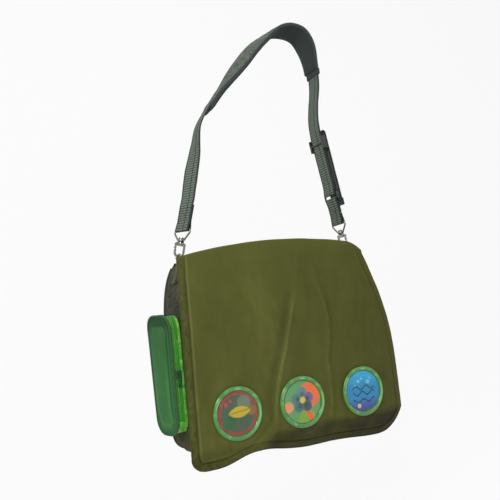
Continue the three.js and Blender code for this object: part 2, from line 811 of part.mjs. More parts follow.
function makePocket(bag) {
  const corners = [
    vec(0, pocketNearY, pocketBottomZ),
    vec(0, pocketNearY, pocketTopZ),
    vec(0, pocketFarY, pocketTopZ),
    vec(0, pocketFarY - pocketFarTaper, pocketBottomZ),
  ];
  const loop = roundedLoop(corners, pocketCorner).map(({ p, out }) => ({ p, a: out, b: X }));
  const wall = (layer, inside, outside) => rectangle(inside, outside, layer.to, layer.from);

  // the front leans: its near side is closer to the gusset than its far side
  const leaned = (geometry, within = Infinity) => {
    const place = geometry.getAttribute('position');
    for (const i of count(place.count)) {
      const share = (place.getY(i) - pocketNearY) / (pocketFarY - pocketNearY);
      const lean = place.getX(i) < within ? mix(pocketNearLean, pocketFarLean, share) : 0;
      place.setX(i, place.getX(i) + lean);
    }
    return geometry;
  };
  const { back, inner, innerTape, innerCoil, outerCoil, outerTape, outer, front } = pocketLayers;

  // the zipper runs up the near side, over the top and down the far side
  const low = loop.slice(0, arcSteps);
  const farLow = loop.slice(3 * arcSteps);
  const shifted = (station, shift) => ({ ...station, p: station.p.clone().add(shift) });
  const lift = vec(0, 0, gap);
  const upper = loop.slice(arcSteps, 3 * arcSteps);
  const run = [shifted(low[arcSteps - 1], lift), ...upper, shifted(farLow[0], lift)];
  const under = [...farLow, ...low];
  const bottom = sweep(under, rectangle(-pocketSkin, 0, outerTape.to, inner.to + gap));
  const ring = sweep(loop, wall(inner, -pocketSkin, 0), true);
  addPiece(bag, 'pocket_inner_gusset', join(ring, bottom), satinGreen);
  const outerWall = leaned(sweep(loop, wall(outer, -pocketSkin, 0), true), outer.from - gap);
  addPiece(bag, 'pocket_outer_gusset', outerWall, satinGreen);
  const tapeMiddle = -pocketSkin / 3;
  const tape = (layer) => sweep(run, wall(layer, tapeMiddle - tapeSkin / 2, tapeMiddle + tapeSkin / 2));
  const coil = (layer) => sweep(run, wall(layer, -coilHeight / 2, coilHeight / 2));
  addPiece(bag, 'zipper_inner_tape', tape(innerTape), satinGreen);
  addPiece(bag, 'zipper_outer_tape', tape(outerTape), satinGreen);
  addPiece(bag, 'zipper_inner_coil', coil(innerCoil), zipperGreen);
  addPiece(bag, 'zipper_outer_coil', coil(outerCoil), zipperGreen);

  const plateOutline = loop.map(({ p, a }) => p.clone().addScaledVector(a, pocketLip));
  const middle = vec(0, (pocketNearY + pocketFarY) / 2, (pocketTopZ + pocketBottomZ) / 2);
  const away = X.clone().negate();
  const crown = (share) => pocketCrown * (1 - share ** 2) - front.from;
  const frontPlate = crownedPlate(plateOutline, middle, away, pocketSkin, crownShares, crown);
  const backPlate = crownedPlate(plateOutline, middle, away, pocketSkin, [1], () => -back.from);
  addPiece(bag, 'pocket_front_panel', leaned(frontPlate), pocketGreen);
  addPiece(bag, 'pocket_back_panel', backPlate, bindingGreen);
  const edge = pocketLip + gap;
  const borderHalf = bindingDepth / 2;
  const border = rectangle(edge, edge + bindingSize, front.from - borderHalf, front.from + borderHalf);
  addPiece(bag, 'pocket_front_binding', leaned(sweep(loop, border, true)), bindingGreen);
}

// Slider round both coils, with a bridge that the pull's bar hangs in
function makeZipper(slider, pull) {
  const coilFace = coilHeight / 2;
  const halfWidth = (2 * tapeWidth + 2 * coilWidth + coilSpace + 2 * gap) / 2 - gap;
  const outerLow = coilFace + gap;
  const outerHigh = outerLow + sliderSkin;
  const innerHigh = -(pocketSkin / 3 + tapeSkin / 2 + gap);
  const innerLow = innerHigh - sliderSkin;
  const half = sliderLength / 2;
  const barMiddle = outerHigh + gap + pullBar / 2;
  const bridgeOpening = pullBar / 2 + gap;
  const bridgeTop = barMiddle + bridgeOpening + bridgeSkin;
  const bridgeHalf = bridgeOpening + bridgeSkin;
  const sunk = gap;
  const facing = (x0, x1, out0, out1, z0, z1) => box(x0, x1, -out1, -out0, z0, z1);
  const body = join(
    facing(-halfWidth, halfWidth, outerLow, outerHigh, -half, half),
    facing(-halfWidth, halfWidth, innerLow, innerHigh, -half, half),
    facing(-sliderPost / 2, sliderPost / 2, innerHigh - sunk, outerLow + sunk, 0, half - sliderSkin),
    facing(-bridgeWidth / 2, bridgeWidth / 2, outerHigh - sunk, bridgeTop, -bridgeHalf, bridgeHalf),
  );
  const openingTop = barMiddle + bridgeOpening;
  const opening = facing(-bridgeWidth, bridgeWidth, outerHigh, openingTop, -bridgeOpening, bridgeOpening);
  const place = (geometry) => geometry.translate(zipperX, pocketNearY, sliderZ);
  addPiece(slider, 'zipper_slider', place(cut(body, opening)), zipperGreen);

  const armInside = bridgeWidth / 2 + gap;
  const armOutside = armInside + pullBar;
  const thick = [barMiddle - pullBar / 2, barMiddle + pullBar / 2];
  const tabStart = Math.hypot(bridgeHalf, bridgeTop - barMiddle) + 2 * gap;
  const tab = join(
    facing(-armOutside, armOutside, ...thick, -pullBar / 2, pullBar / 2),
    facing(-armOutside, -armInside, ...thick, -tabStart - sunk, pullBar / 2),
    facing(armInside, armOutside, ...thick, -tabStart - sunk, pullBar / 2),
    facing(-pullWidth / 2, pullWidth / 2, ...thick, -pullLength, -tabStart),
  );
  const hole = crossPin(pullHole, 2 * barMiddle, 0, pullHole + pullBar - pullLength);
  addPiece(pull, 'zipper_pull', place(cut(tab, hole)), zipperGreen);
}

// Frame of one strap leg: out points away from the strap's loop, up along the leg, and the
// webbing and its eye are turned about the leg's line
function legFrame(side, tiltDegrees, turn) {
  const tilt = radians(tiltDegrees);
  const up = vec(-side * Math.sin(tilt), 0, Math.cos(tilt));
  const out = vec(side * Math.cos(tilt), 0, Math.sin(tilt));
  const origin = vec(tabLine(side).bar.x, strapY, wireTopZ);
  const at = (a, b) => origin.clone().addScaledVector(out, a).addScaledVector(up, b);
  const turnY = -side * tilt;
  return { side, up, out, at, origin, turnY, turn };
}

const frontLeg = legFrame(-1, frontTiltDegrees, strapTurn(0));
const rearLeg = legFrame(1, rearTiltDegrees, 0);

// The strap's route from the front leg's double ply, over the shoulder, to the rear leg's straight run
const route = (() => {
  const lowest = rearLeg.at(0, straightTop + routeSpacing).z;
  const shaped = routeShares.map(([x, z]) => vec(x * strapSpan, strapY, z * strapRise));
  const free = shaped.filter((p) => p.x < 0 || p.z > lowest);
  const start = [plyFlare, doublePly].map((height) => frontLeg.at(plyHalf, eyeBarHeight + height));
  const finish = [rearLeg.at(-plyHalf, straightTop), rearLeg.at(-plyHalf, straightTop - plyFlare)];
  return new THREE.CatmullRomCurve3([...start, ...free, ...finish], false, 'centripetal');
})();
const routeLength = route.getLength();
const routeSpans = Math.ceil(routeLength / routeSpacing);
const routeNodes = shares(routeSpans).map((share) => route.getPointAt(share));

// Pieces that lie on each other share the route's straight spans
function routeAt(length) {
  const place = Math.min(length / routeLength, 1) * routeSpans;
  const node = Math.min(Math.floor(place), routeSpans - 1);
  return routeNodes[node].clone().lerp(routeNodes[node + 1], place - node);
}

function routeStretch(from, to) {
  const nodeLength = routeLength / routeSpans;
  const inside = routeNodes.filter((_, i) => i * nodeLength > from + gap && i * nodeLength < to - gap);
  return [routeAt(from), ...inside.map((p) => p.clone()), routeAt(to)];
}

// How far along the strap each of its points lies, the first one at a given length
function lengthsAt(points, start) {
  let length = start;
  return points.map((p, i) => {
    length += i ? p.distanceTo(points[i - 1]) : 0;
    return length;
  });
}

function placeOnLeg(geometry, leg) {
  return geometry.rotateY(leg.turnY).translate(leg.origin.x, leg.origin.y, leg.origin.z);
}

// Hook, gate, pin and swivel eye; outward is the side that the gate is on
function makeHook(strap, hook, gate, name, leg) {
  const o = leg.side;
  const outer = hookInner + hookSkin;
  const turnCentre = hookInner - ringWire - hookPlay;
  const shape = new THREE.Shape();
  const middle = o > 0 ? [Math.PI, 2 * Math.PI] : [0, -Math.PI];
  shape.moveTo(-o * outer, hookBlockHigh - hookSkin / 2);
  shape.lineTo(-o * outer, turnCentre);
  shape.absarc(0, turnCentre, outer, middle[0], middle[1], o < 0);
  shape.lineTo(o * outer, noseTop);
  shape.lineTo(o * hookInner, noseTop);
  shape.lineTo(o * hookInner, turnCentre);
  shape.absarc(0, turnCentre, hookInner, middle[1], middle[0], o > 0);
  shape.lineTo(-o * hookInner, hookBlockLow);
  shape.lineTo(o * outer, hookBlockLow);
  shape.lineTo(o * outer, hookBlockHigh - hookSkin / 2);
  shape.lineTo(o * hookInner, hookBlockHigh);
  shape.lineTo(-o * hookInner, hookBlockHigh);
  shape.closePath();
  const pivotX = hookInner + hookSkin / 2;
  const span = (x0, x1) => (o > 0 ? [x0, x1] : [-x1, -x0]);
  const slotX = hookInner - gateWidth;
  const high = hookBlockHigh - hookSkin / 2;
  const cheeks = box(...span(slotX, outer), -hookBlockHalf, hookBlockHalf, hookBlockLow, high);
  const slotHalf = gateSkin / 2 + gap;
  const slotHigh = gatePivotHeight + gateEye + gap;
  const slot = box(...span(slotX, outer + overrun), -slotHalf, slotHalf, hookBlockLow - overrun, slotHigh);
  const headLow = hookBlockHigh + gap + bossHeight + gap;
  const shank = rod(studShank, hookBlockHigh - overrun, headLow + studHeadSkin / 2);
  const head = rod(studHead, headLow, headLow + studHeadSkin);
  const bore = crossPin(pinRadius + gap, hookBlockHalf + overrun, o * pivotX, gatePivotHeight);
  const body = cut(join(flatPlate(shape, hookSkin), cheeks, shank, head), slot, bore);
  addPiece(hook, `${name}_hook_body`, placeOnLeg(body, leg), steel);
  const pin = crossPin(pinRadius, hookBlockHalf, o * pivotX, gatePivotHeight);
  addPiece(hook, `${name}_gate_pin`, placeOnLeg(pin, leg), steel);

  const arm = new THREE.Shape();
  const half = gateWidth / 2;
  const thumbLow = mix(noseTop, gatePivotHeight, thumbLowShare);
  const thumbHigh = mix(noseTop, gatePivotHeight, thumbHighShare);
  arm.moveTo(o * (pivotX - half), noseTop + gap);
  arm.lineTo(o * (pivotX + half), noseTop + gap);
  arm.lineTo(o * (pivotX + half), thumbLow);
  arm.lineTo(o * (pivotX + half + gateThumb), thumbLow + half / 2);
  arm.lineTo(o * (pivotX + half), thumbHigh);
  arm.lineTo(o * (pivotX + half), gatePivotHeight);
  arm.lineTo(o * (pivotX - half), gatePivotHeight);
  arm.closePath();
  const gateBarrel = crossPin(gateEye, gateSkin / 2, o * pivotX, gatePivotHeight, fineSteps);
  const gateBore = crossPin(pinRadius + gap, gateSkin + overrun, o * pivotX, gatePivotHeight);
  const gateBody = cut(join(flatPlate(arm, gateSkin), gateBarrel), gateBore);
  addPiece(gate, `${name}_gate`, placeOnLeg(gateBody, leg), steel);

  const barHalf = webbingHalfWidth + ringRoom + eyeWire;
  const bossLow = hookBlockHigh + gap;
  const foot = bossLow + bossHeight / 2;
  const corners = [
    vec(0, -barHalf, eyeBarHeight),
    vec(0, barHalf, eyeBarHeight),
    vec(0, barHalf, eyeBarHeight - eyeShoulder),
    vec(0, eyeFootHalf, foot),
    vec(0, -eyeFootHalf, foot),
    vec(0, -barHalf, eyeBarHeight - eyeShoulder),
  ];
  const wire = wireLoop(roundedLoop(corners, 2 * eyeWire, fewSteps).map(({ p }) => p), X, eyeWire);
  const boss = rod(bossRadius, bossLow, bossLow + bossHeight);
  const hole = rod(studShank + gap, bossLow - overrun, bossLow + bossHeight + overrun);
  const eye = cut(join(wire, boss), hole).rotateZ(leg.turn);
  addPiece(strap, `${name}_swivel_eye`, placeOnLeg(eye, leg), steel);
}

function turnedOnLeg(station, leg) {
  const turn = (v) => v.clone().applyAxisAngle(leg.up, leg.turn);
  const p = turn(station.p.clone().sub(leg.origin)).add(leg.origin);
  return { p, a: turn(station.a), b: turn(station.b) };
}

function makeFrontWebbing(strap) {
  const wrap = eyeWire + gap + webbingSkin / 2;
  const down = frontLeg.up.clone().negate();
  const barCentre = frontLeg.at(0, eyeBarHeight);
  const fold = foldPoints(barCentre, frontLeg.out, down, wrap);
  const upper = routeStretch(0, padStart + padLap);
  const path = [
    frontLeg.at(-plyHalf, eyeBarHeight + doublePly),
    frontLeg.at(-plyHalf, eyeBarHeight + plyFlare),
    ...fold,
    ...upper,
  ];
  const flat = path.length - upper.length;
  const lengths = lengthsAt(upper, 0);
  const turnAt = (i) => (i < flat ? 0 : strapTurn(lengths[i - flat]));
  const stations = laidStations(path, turnAt).map((station, i) => {
    if (i < flat) return turnedOnLeg(station, frontLeg);
    const drift = frontLeg.out.clone().applyAxisAngle(frontLeg.up, turnAt(i)).sub(frontLeg.out);
    return { ...station, p: station.p.clone().addScaledVector(drift, plyHalf) };
  });
  const section = rectangle(-webbingHalfWidth, webbingHalfWidth, -webbingSkin / 2, webbingSkin / 2);
  addPiece(strap, 'front_webbing', sweep(stations, section), webbingGrey);
}

function makeRearWebbing(strap) {
  const wrap = squareRingWire + gap + webbingSkin / 2;
  const barHeight = squareRingHeight + squareRingHalf;
  const down = rearLeg.up.clone().negate();
  const lowFold = foldPoints(rearLeg.at(0, barHeight), rearLeg.out, down, wrap);
  const tailMiddle = (tailOffset + plyHalf) / 2;
  const foldTop = rearLeg.at(tailMiddle, tailFoldHeight);
  const highFold = foldPoints(foldTop, rearLeg.out, rearLeg.up, tailOffset - tailMiddle);
  const hemMiddle = rearLeg.at(tailOffset + plyHalf, tailEndHeight);
  const hemFold = foldPoints(hemMiddle, rearLeg.out, down, plyHalf);
  const path = [
    ...routeStretch(padStart + padLength - padLap, routeLength),
    rearLeg.at(-plyHalf, barHeight + plyFlare),
    ...lowFold,
    rearLeg.at(plyHalf, barHeight + plyFlare),
    ...highFold,
    ...hemFold,
    rearLeg.at(tailOffset + 2 * plyHalf, tailEndHeight + tailHem),
  ];
  addPiece(strap, 'rear_webbing', ribbon(path, webbingHalfWidth, webbingSkin), webbingGrey);

  const ringWrap = squareRingWire + gap + webbingSkin / 2;
  const eyeWrap = eyeWire + gap + webbingSkin / 2;
  const ringBar = squareRingHeight - squareRingHalf;
  const meet = mix(eyeBarHeight, ringBar, meetShare);
  const hookPath = [
    rearLeg.at(plyHalf, meet + gap),
    rearLeg.at(plyHalf, ringBar - plyFlare),
    ...foldPoints(rearLeg.at(0, ringBar), rearLeg.out, rearLeg.up, ringWrap).reverse(),
    rearLeg.at(-plyHalf, ringBar - plyFlare),
    rearLeg.at(-plyHalf, eyeBarHeight + plyFlare),
    ...foldPoints(rearLeg.at(0, eyeBarHeight), rearLeg.out, down, eyeWrap),
    rearLeg.at(plyHalf, eyeBarHeight + plyFlare),
    rearLeg.at(plyHalf, meet - gap),
  ];
  addPiece(strap, 'hook_webbing', ribbon(hookPath, webbingHalfWidth, webbingSkin), webbingGrey);

  const half = webbingHalfWidth + ringRoom + squareRingWire;
  const corners = [
    vec(0, -half, squareRingHeight + squareRingHalf),
    vec(0, half, squareRingHeight + squareRingHalf),
    vec(0, half, squareRingHeight - squareRingHalf),
    vec(0, -half, squareRingHeight - squareRingHalf),
  ];
  const loop = roundedLoop(corners, squareRingWire, fewSteps).map(({ p }) => p);
  addPiece(strap, 'square_ring', placeOnLeg(wireLoop(loop, X, squareRingWire), rearLeg), darkPlastic);
}

// The centre bar is behind both plies and the outer bars are in front of them, so the plies run straight
function makeTriGlide(slideGroup) {
  const face = plyHalf + webbingSkin / 2 + gap;
  const inside = webbingHalfWidth + gap;
  const outside = inside + triGlideRail;
  const [low, high] = [triGlideHeight - triGlideHalf, triGlideHeight + triGlideHalf];
  const half = triGlideBar / 2;
  const bar = (x0, z0, z1) => box(x0, x0 + triGlideBar, -outside, outside, z0, z1);
  const rail = (y0, y1) => box(-face - triGlideBar, face + triGlideBar, y0, y1, low, high);
  const frame = join(
    rail(-outside, -inside),
    rail(inside, outside),
    bar(-face - triGlideBar, triGlideHeight - half, triGlideHeight + half),
    bar(face, low, low + triGlideBar),
    bar(face, high - triGlideBar, high),
  );
  addPiece(slideGroup, 'tri_glide', placeOnLeg(frame, rearLeg), darkPlastic);
}

function makePad(strap) {
  const points = routeStretch(padStart, padStart + padLength);
  const lengths = lengthsAt(points, padStart);
  const stations = laidStations(points, (i) => strapTurn(lengths[i]));
  const fromEnd = (i) => Math.min(lengths[i] - padStart, padStart + padLength - lengths[i]);
  const halfAt = (i) => mix(padEndWidth, padWidth, THREE.MathUtils.smoothstep(fromEnd(i), 0, padTaper)) / 2;
  const face = webbingSkin / 2;
  const foamTop = (i) => (fromEnd(i) > padLap + routeSpacing ? face : -face - gap);
  const foamLow = -face - gap - foamSkin;
  const layer = (low, high) => (i) => rectangle(-halfAt(i), halfAt(i), low, high(i));
  const coverLow = face + gap;
  const underLow = foamLow - gap - coverSkin;
  addPiece(strap, 'pad_foam', sweep(stations, layer(foamLow, foamTop)), foamGrey);
  const sheet = (from) => sweep(stations, layer(from, () => from + coverSkin));
  addPiece(strap, 'pad_cover', sheet(coverLow), webbingGrey);
  addPiece(strap, 'pad_underside', sheet(underLow), bindingGrey);

  const top = coverLow + coverSkin + gap;
  const low = underLow - gap;
  const binding = (side) => (i) => {
    const inside = halfAt(i) + gap;
    const outside = inside + coverSkin;
    const flange = inside - bindingFlange;
    const outline = [
      [flange, low],
      [flange, low - coverSkin],
      [outside, low - coverSkin],
      [outside, top + coverSkin],
      [flange, top + coverSkin],
      [flange, top],
      [inside, top],
      [inside, low],
    ];
    const placed = outline.map(([a, b]) => new THREE.Vector2(side * a, b));
    return side > 0 ? placed : placed.reverse();
  };
  addPiece(strap, 'pad_near_binding', sweep(stations, binding(-1)), bindingGrey);
  addPiece(strap, 'pad_far_binding', sweep(stations, binding(1)), bindingGrey);

  // keeper band round the webbing, just past the pad's rear end
  const start = padStart + padLength + 2 * gap;
  const half = [webbingHalfWidth + gap, face + 2 * gap];
  const whole = half.map((size) => size + keeperSkin);
  const outer = rectangle(-whole[0], whole[0], -whole[1], whole[1]);
  const inner = rectangle(-half[0], half[0], -half[1], half[1]);
  const run = (extra) => laidStations(routeStretch(start - extra, start + keeperLength + extra));
  const band = cut(sweep(run(0), outer), sweep(run(overrun), inner));
  addPiece(strap, 'pad_keeper', band, bindingGrey);
}

// The underside of the pad at the top of the arch
const shoulderRest = (() => {
  const crest = shares(fineSteps * fineSteps)
    .map((share) => route.getPointAt(share))
    .reduce((best, p) => (p.z > best.z ? p : best));
  const depth = webbingSkin / 2 + gap + foamSkin + gap + coverSkin;
  return vec(crest.x, strapY, crest.z - depth);
})();

const root = new THREE.Group();
const bodies = {};
const hookBodies = ['front_hook', 'front_gate', 'rear_hook', 'rear_gate'];
for (const name of ['strap', ...hookBodies, 'glide', 'bag', 'flap_top', 'flap_front', 'slider', 'pull']) {
  bodies[name] = new THREE.Group();
  bodies[name].name = `${name}_body`;
  root.add(bodies[name]);
}

makeBody(bodies.bag);
makeRings(bodies.bag);
makeFlap(bodies.flap_top, bodies.flap_front);
makePatches(bodies.bag, bodies.flap_front);
makeBadges(bodies.flap_front);
makePocket(bodies.bag);
makeZipper(bodies.slider, bodies.pull);
makeHook(bodies.strap, bodies.front_hook, bodies.front_gate, 'front', frontLeg);
makeHook(bodies.strap, bodies.rear_hook, bodies.rear_gate, 'rear', rearLeg);
makeFrontWebbing(bodies.strap);
makeRearWebbing(bodies.strap);
makeTriGlide(bodies.glide);
makePad(bodies.strap);

root.position.copy(shoulderRest).negate();

export default root;
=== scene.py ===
"""A shoulder bag with a wide olive flap, round badges, a green side pocket and a webbing strap.

The bag hangs by its shoulder pad. Shapes are worked out in millimetres from the level of the
strap rings, +X to the right, +Y away from the flap and +Z up, and placed in the frame at the end.
"""

import math

import bmesh
import bpy
from mathutils import Matrix, Vector, noise


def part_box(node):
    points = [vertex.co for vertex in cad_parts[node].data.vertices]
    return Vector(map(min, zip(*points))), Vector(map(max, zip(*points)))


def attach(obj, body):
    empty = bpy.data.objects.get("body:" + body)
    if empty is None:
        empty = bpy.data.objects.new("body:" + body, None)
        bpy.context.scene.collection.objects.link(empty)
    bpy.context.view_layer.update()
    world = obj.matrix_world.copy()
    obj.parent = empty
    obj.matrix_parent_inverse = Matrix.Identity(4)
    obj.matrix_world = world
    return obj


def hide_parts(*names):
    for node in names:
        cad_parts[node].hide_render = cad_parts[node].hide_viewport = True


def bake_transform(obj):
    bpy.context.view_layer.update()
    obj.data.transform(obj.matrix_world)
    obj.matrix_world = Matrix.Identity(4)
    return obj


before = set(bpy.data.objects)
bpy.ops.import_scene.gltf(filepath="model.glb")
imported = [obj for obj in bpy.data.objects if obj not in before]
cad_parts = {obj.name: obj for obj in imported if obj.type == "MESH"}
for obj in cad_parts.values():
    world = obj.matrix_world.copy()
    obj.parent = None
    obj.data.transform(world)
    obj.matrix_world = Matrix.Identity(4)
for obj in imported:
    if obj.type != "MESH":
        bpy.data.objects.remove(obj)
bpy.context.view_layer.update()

# Bag body, with each side's half width, how far its top is drawn in, and over what depth
PANEL_LEFT, PANEL_BOTTOM, BACK_Y = -195.983, -328, 54
CENTRE_X, BODY_CORNER = -6, 26
BODY_SIDES = {-1: (190, 32, 40), 1: (212, 53.6, 70)}
MOUTH_Z, BACK_TOP_Z = -14, -4

# Flap
FLAP_Y, FLAP_LEFT, FLAP_SPREAD, FLAP_RIGHT, FLARE, FLARE_DEPTH = -55, -196, 5, 162, 62, 215
SPLIT_Z, HEM_Z, HEM_RISE, HEM_RISE_X, HEM_RISE_RUN = -16, -344.5, 9.5, -80, 45
HEM_FALL, HEM_LEFT_FALL = 9.5, 4.5
HEM_SAGS = [(4.5, -140, 30), (4, 35, 60)]
LEFT_CORNER, RIGHT_CORNER = 22, 50
WRAP_X, WRAP_RUN, WRAP_DEPTH = 120, 90, 10
CROWN_Z, CROWN_LEFT, CROWN_RIGHT, SHOULDER_X, SHOULDER_DROP = 18, 22, 9, 134, 12
FOLD_RADIUS, STRIP_HALF, STRIP_NECK_Y, STRIP_SEAM_Z = 5, 150, -30, -1.2
FLAP_THICK, SEAM_INSET = 2.4, 12.6

# Badges and side pocket
BADGE_XS, BADGE_Z, BADGE_RADIUS, LENS_RADIUS = (-116, 6, 132), -267.5, 44, 35.5
POCKET_NEAR, POCKET_FAR, POCKET_TAPER = -40, 30, 8
POCKET_TOP, POCKET_BOTTOM, POCKET_CORNER = -98, -288, 24
POCKET_NEAR_LEAN, POCKET_FAR_LEAN = 9, -6
POCKET_ROOT_X, ZIP_ROOT_X, ZIP_FRONT_X, POCKET_FRONT_X = -196.6, -200.5, -210.5, -223.6

# Strap, with its line over the shoulder as shares of its span and rise
STRAP_Y, RING_Z, RING_RADIUS, RING_WIRE = -5, -6, 12, 1.75
LEFT_BAR_X, RIGHT_BAR_X, BAR_Z = -175.215, 163.24, -10
FRONT_TILT, REAR_TILT = 15.5, 8.9
STRAP_SPAN, STRAP_RISE = 168, 441
ROUTE_SHARES = [
    (-0.885, 0.236), (-0.851, 0.293), (-0.815, 0.351), (-0.774, 0.408), (-0.738, 0.472),
    (-0.696, 0.535), (-0.595, 0.601), (-0.476, 0.664), (-0.31, 0.739), (-0.143, 0.814),
    (0.03, 0.891), (0.19, 0.948), (0.357, 0.989), (0.536, 1.0), (0.69, 0.982),
    (0.792, 0.918), (0.827, 0.825), (0.821, 0.73), (0.78, 0.65), (0.757, 0.58),
]
WEB_HALF, WEB_THICK, WEB_PLAY, WEB_RIB = 19, 1.8, 0.3, 4.6
EYE_BAR, EYE_WIRE, DOUBLE_PLY, PLY_FLARE, PLY_HALF = 44, 1.6, 44, 14, 1.05
BOSS_LOW, BOSS_HIGH, BOSS_RADIUS, BOSS_BORE = 21.3, 6.5, 5.5, 2.9
STRAIGHT_TOP, SQUARE_RING, SQUARE_HALF, SQUARE_WIRE = 218, 97.2, 6.5, 1.9
TAIL_OUT, TAIL_FOLD, TAIL_END, TAIL_HEM = 10.5, 222, 78, 12
EYE_TURN, LEG_TURN, LEG_TURN_RISE, LEG_TURN_HELD, LEG_TURN_FALL = 19, 22, 40, 8, 85

# Shoulder pad
PAD_START, PAD_LENGTH, PAD_END, PAD_WIDTH, PAD_TAPER, PAD_TUCK = 215, 372, 44, 57, 60, 34
PAD_TURN, PAD_TURN_START, PAD_TURN_RISE, PAD_TURN_HELD, PAD_TURN_FALL = 16, 250, 95, 50, 85

panel_low, back_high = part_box("front_panel")[0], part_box("back_panel")[1]
SHIFT = Vector((
    panel_low[0] * 1000 - PANEL_LEFT,
    back_high[1] * 1000 - BACK_Y,
    panel_low[2] * 1000 - PANEL_BOTTOM,
))
TO_ROW = Matrix.Scale(0.001, 4) @ Matrix.Translation(SHIFT)
X_AXIS, Y_AXIS, Z_AXIS = Vector((1, 0, 0)), Vector((0, 1, 0)), Vector((0, 0, 1))


def row_point(x, y, z):
    return tuple(TO_ROW @ Vector((x, y, z)))


def mix(a, b, share):
    return a + (b - a) * share


def between(start, end, steps):
    return [mix(start, end, i / steps) for i in range(steps + 1)]


def smooth(value, low, high):
    share = min(max((value - low) / (high - low), 0), 1)
    return share * share * (3 - 2 * share)


def bell(distance, width):
    return math.exp(-((distance / width) ** 2))


def bells(value, rows):
    """The sum of bells, each given as (height, middle, width)."""
    return sum(height * bell(value - middle, width) for height, middle, width in rows)


def ripple(x, y, z, scale):
    return noise.noise(Vector((x, y, z)) / scale)


# Finishes
finishes = {}


def linear(*colour):
    return tuple((c / 255 / 12.92 if c < 11 else ((c / 255 + 0.055) / 1.055) ** 2.4) for c in colour) + (1,)


def dimmed(colour, share):
    return tuple(int(c * share) for c in colour)


def add_node(tree, kind, inputs, **settings):
    """A shader node with its settings, and with its inputs linked to sockets or set to values."""
    node = tree.nodes.new("ShaderNode" + kind)
    for key, value in settings.items():
        setattr(node, key, value)
    for key, value in inputs.items():
        if isinstance(value, bpy.types.NodeSocket):
            tree.links.new(value, node.inputs[key])
        else:
            node.inputs[key].default_value = value
    return node


class Term:
    """A number that varies over the surface, with sums and products written as in arithmetic."""

    def __init__(self, tree, socket):
        self.tree, self.socket = tree, socket

    def apply(self, operation, *others):
        values = [getattr(value, "socket", value) for value in (self, *others)]
        node = add_node(self.tree, "Math", dict(enumerate(values)), operation=operation)
        return Term(self.tree, node.outputs[0])

    def __add__(self, other):
        return self.apply("ADD", other)

    def __sub__(self, other):
        return self.apply("SUBTRACT", other)

    def __mul__(self, other):
        return self.apply("MULTIPLY", other)

    def size(self):
        return self.apply("ABSOLUTE")

    def top(self, other):
        return self.apply("MAXIMUM", other)

    def wave(self, pitch):
        """A sine that passes zero at every pitch."""
        return (self * (math.pi / pitch)).apply("SINE")

    def rising(self, low, high):
        inputs = {"Value": self.socket, "From Min": low, "From Max": high}
        node = add_node(self.tree, "MapRange", inputs, interpolation_type="SMOOTHSTEP")
        return Term(self.tree, node.outputs["Result"])

    def below(self, edge, soft):
        return self.rising(edge + soft, edge - soft)


class Finish:
    """One material: a shader, a colour that layers are painted on, and a bump added in layers.

    Its places are millimetres along the cloth, or in space where the piece is solid.
    """

    def __init__(self, name, colour, roughness, solid=False, **sockets):
        self.material = bpy.data.materials.new(name)
        self.material.use_nodes = True
        self.tree = self.material.node_tree
        self.shader = self.tree.nodes["Principled BSDF"]
        self.colour = linear(*colour)
        self.shader.inputs["Base Color"].default_value = self.colour
        self.shader.inputs["Roughness"].default_value = roughness
        for socket, value in sockets.items():
            self.shader.inputs[socket.replace("_", " ")].default_value = value
        place = add_node(self.tree, "TexCoord", {}).outputs["Object" if solid else "UV"]
        scale = (1000.0 if solid else 1.0,) * 3
        self.vector = add_node(self.tree, "Mapping", {"Vector": place, "Scale": scale}).outputs["Vector"]
        finishes[name] = self

    def axes(self):
        split = add_node(self.tree, "SeparateXYZ", {0: self.vector})
        return [Term(self.tree, output) for output in split.outputs]

    def grain(self, size, detail=2.0, stretch=(1, 1, 1)):
        """Noise whose patches are about size millimetres across, from 0 to 1."""
        source = self.vector
        if stretch != (1, 1, 1):
            source = add_node(self.tree, "Mapping", {"Vector": source, "Scale": stretch}).outputs["Vector"]
        node = add_node(self.tree, "TexNoise", {"Vector": source, "Scale": 1 / size, "Detail": detail})
        return Term(self.tree, node.outputs["Fac"])

    def paint(self, mask, colour):
        inputs = {0: mask.socket, 6: self.colour, 7: linear(*colour)}
        self.colour = add_node(self.tree, "Mix", inputs, data_type="RGBA").outputs[2]
        self.tree.links.new(self.colour, self.shader.inputs["Base Color"])
        return self

    def flecked(self, colour, low, high, size, detail=2.0, stretch=(1, 1, 1)):
        """Paints the patches where the grain rises from low to high."""
        return self.paint(self.grain(size, detail, stretch).rising(low, high), colour)

    def crease_shade_lines(self, colour, level, width, size, detail, stretch):
        """Paints painted crease shade: thin wandering dark lines where the grain passes a level."""
        return self.paint((self.grain(size, detail, stretch) - level).size().below(width, width), colour)

    def paint_shade_and_mottle(self, light, dark):
        """Paints the painted light and shade kept on the piece, with its mottling: lighter above a half,
        darker below it.
        """
        shade_and_mottle = Term(self.tree, add_node(self.tree, "Attribute", {}, attribute_name="shade_and_mottle").outputs["Fac"])
        self.paint((shade_and_mottle * 2 - 1).top(0.0), light)
        return self.paint((shade_and_mottle * -2 + 1).top(0.0), dark)

    def rough(self, term):
        self.tree.links.new(term.socket, self.shader.inputs["Roughness"])
        return self

    def raised(self, term, depth):
        """Bump of depth millimetres for a height from 0 to 1, over the bump that is there."""
        inputs = {"Distance": depth / 1000, "Height": term.socket}
        for link in self.shader.inputs["Normal"].links:
            inputs["Normal"] = link.from_socket
        node = add_node(self.tree, "Bump", inputs)
        self.tree.links.new(node.outputs["Normal"], self.shader.inputs["Normal"])
        return self

    def woven(self, thread, depth):
        """Plain weave with threads of that width along both directions of the cloth."""
        along, across, _ = self.axes()
        return self.raised(along.wave(thread) * across.wave(thread) * 0.5 + 0.5, depth)


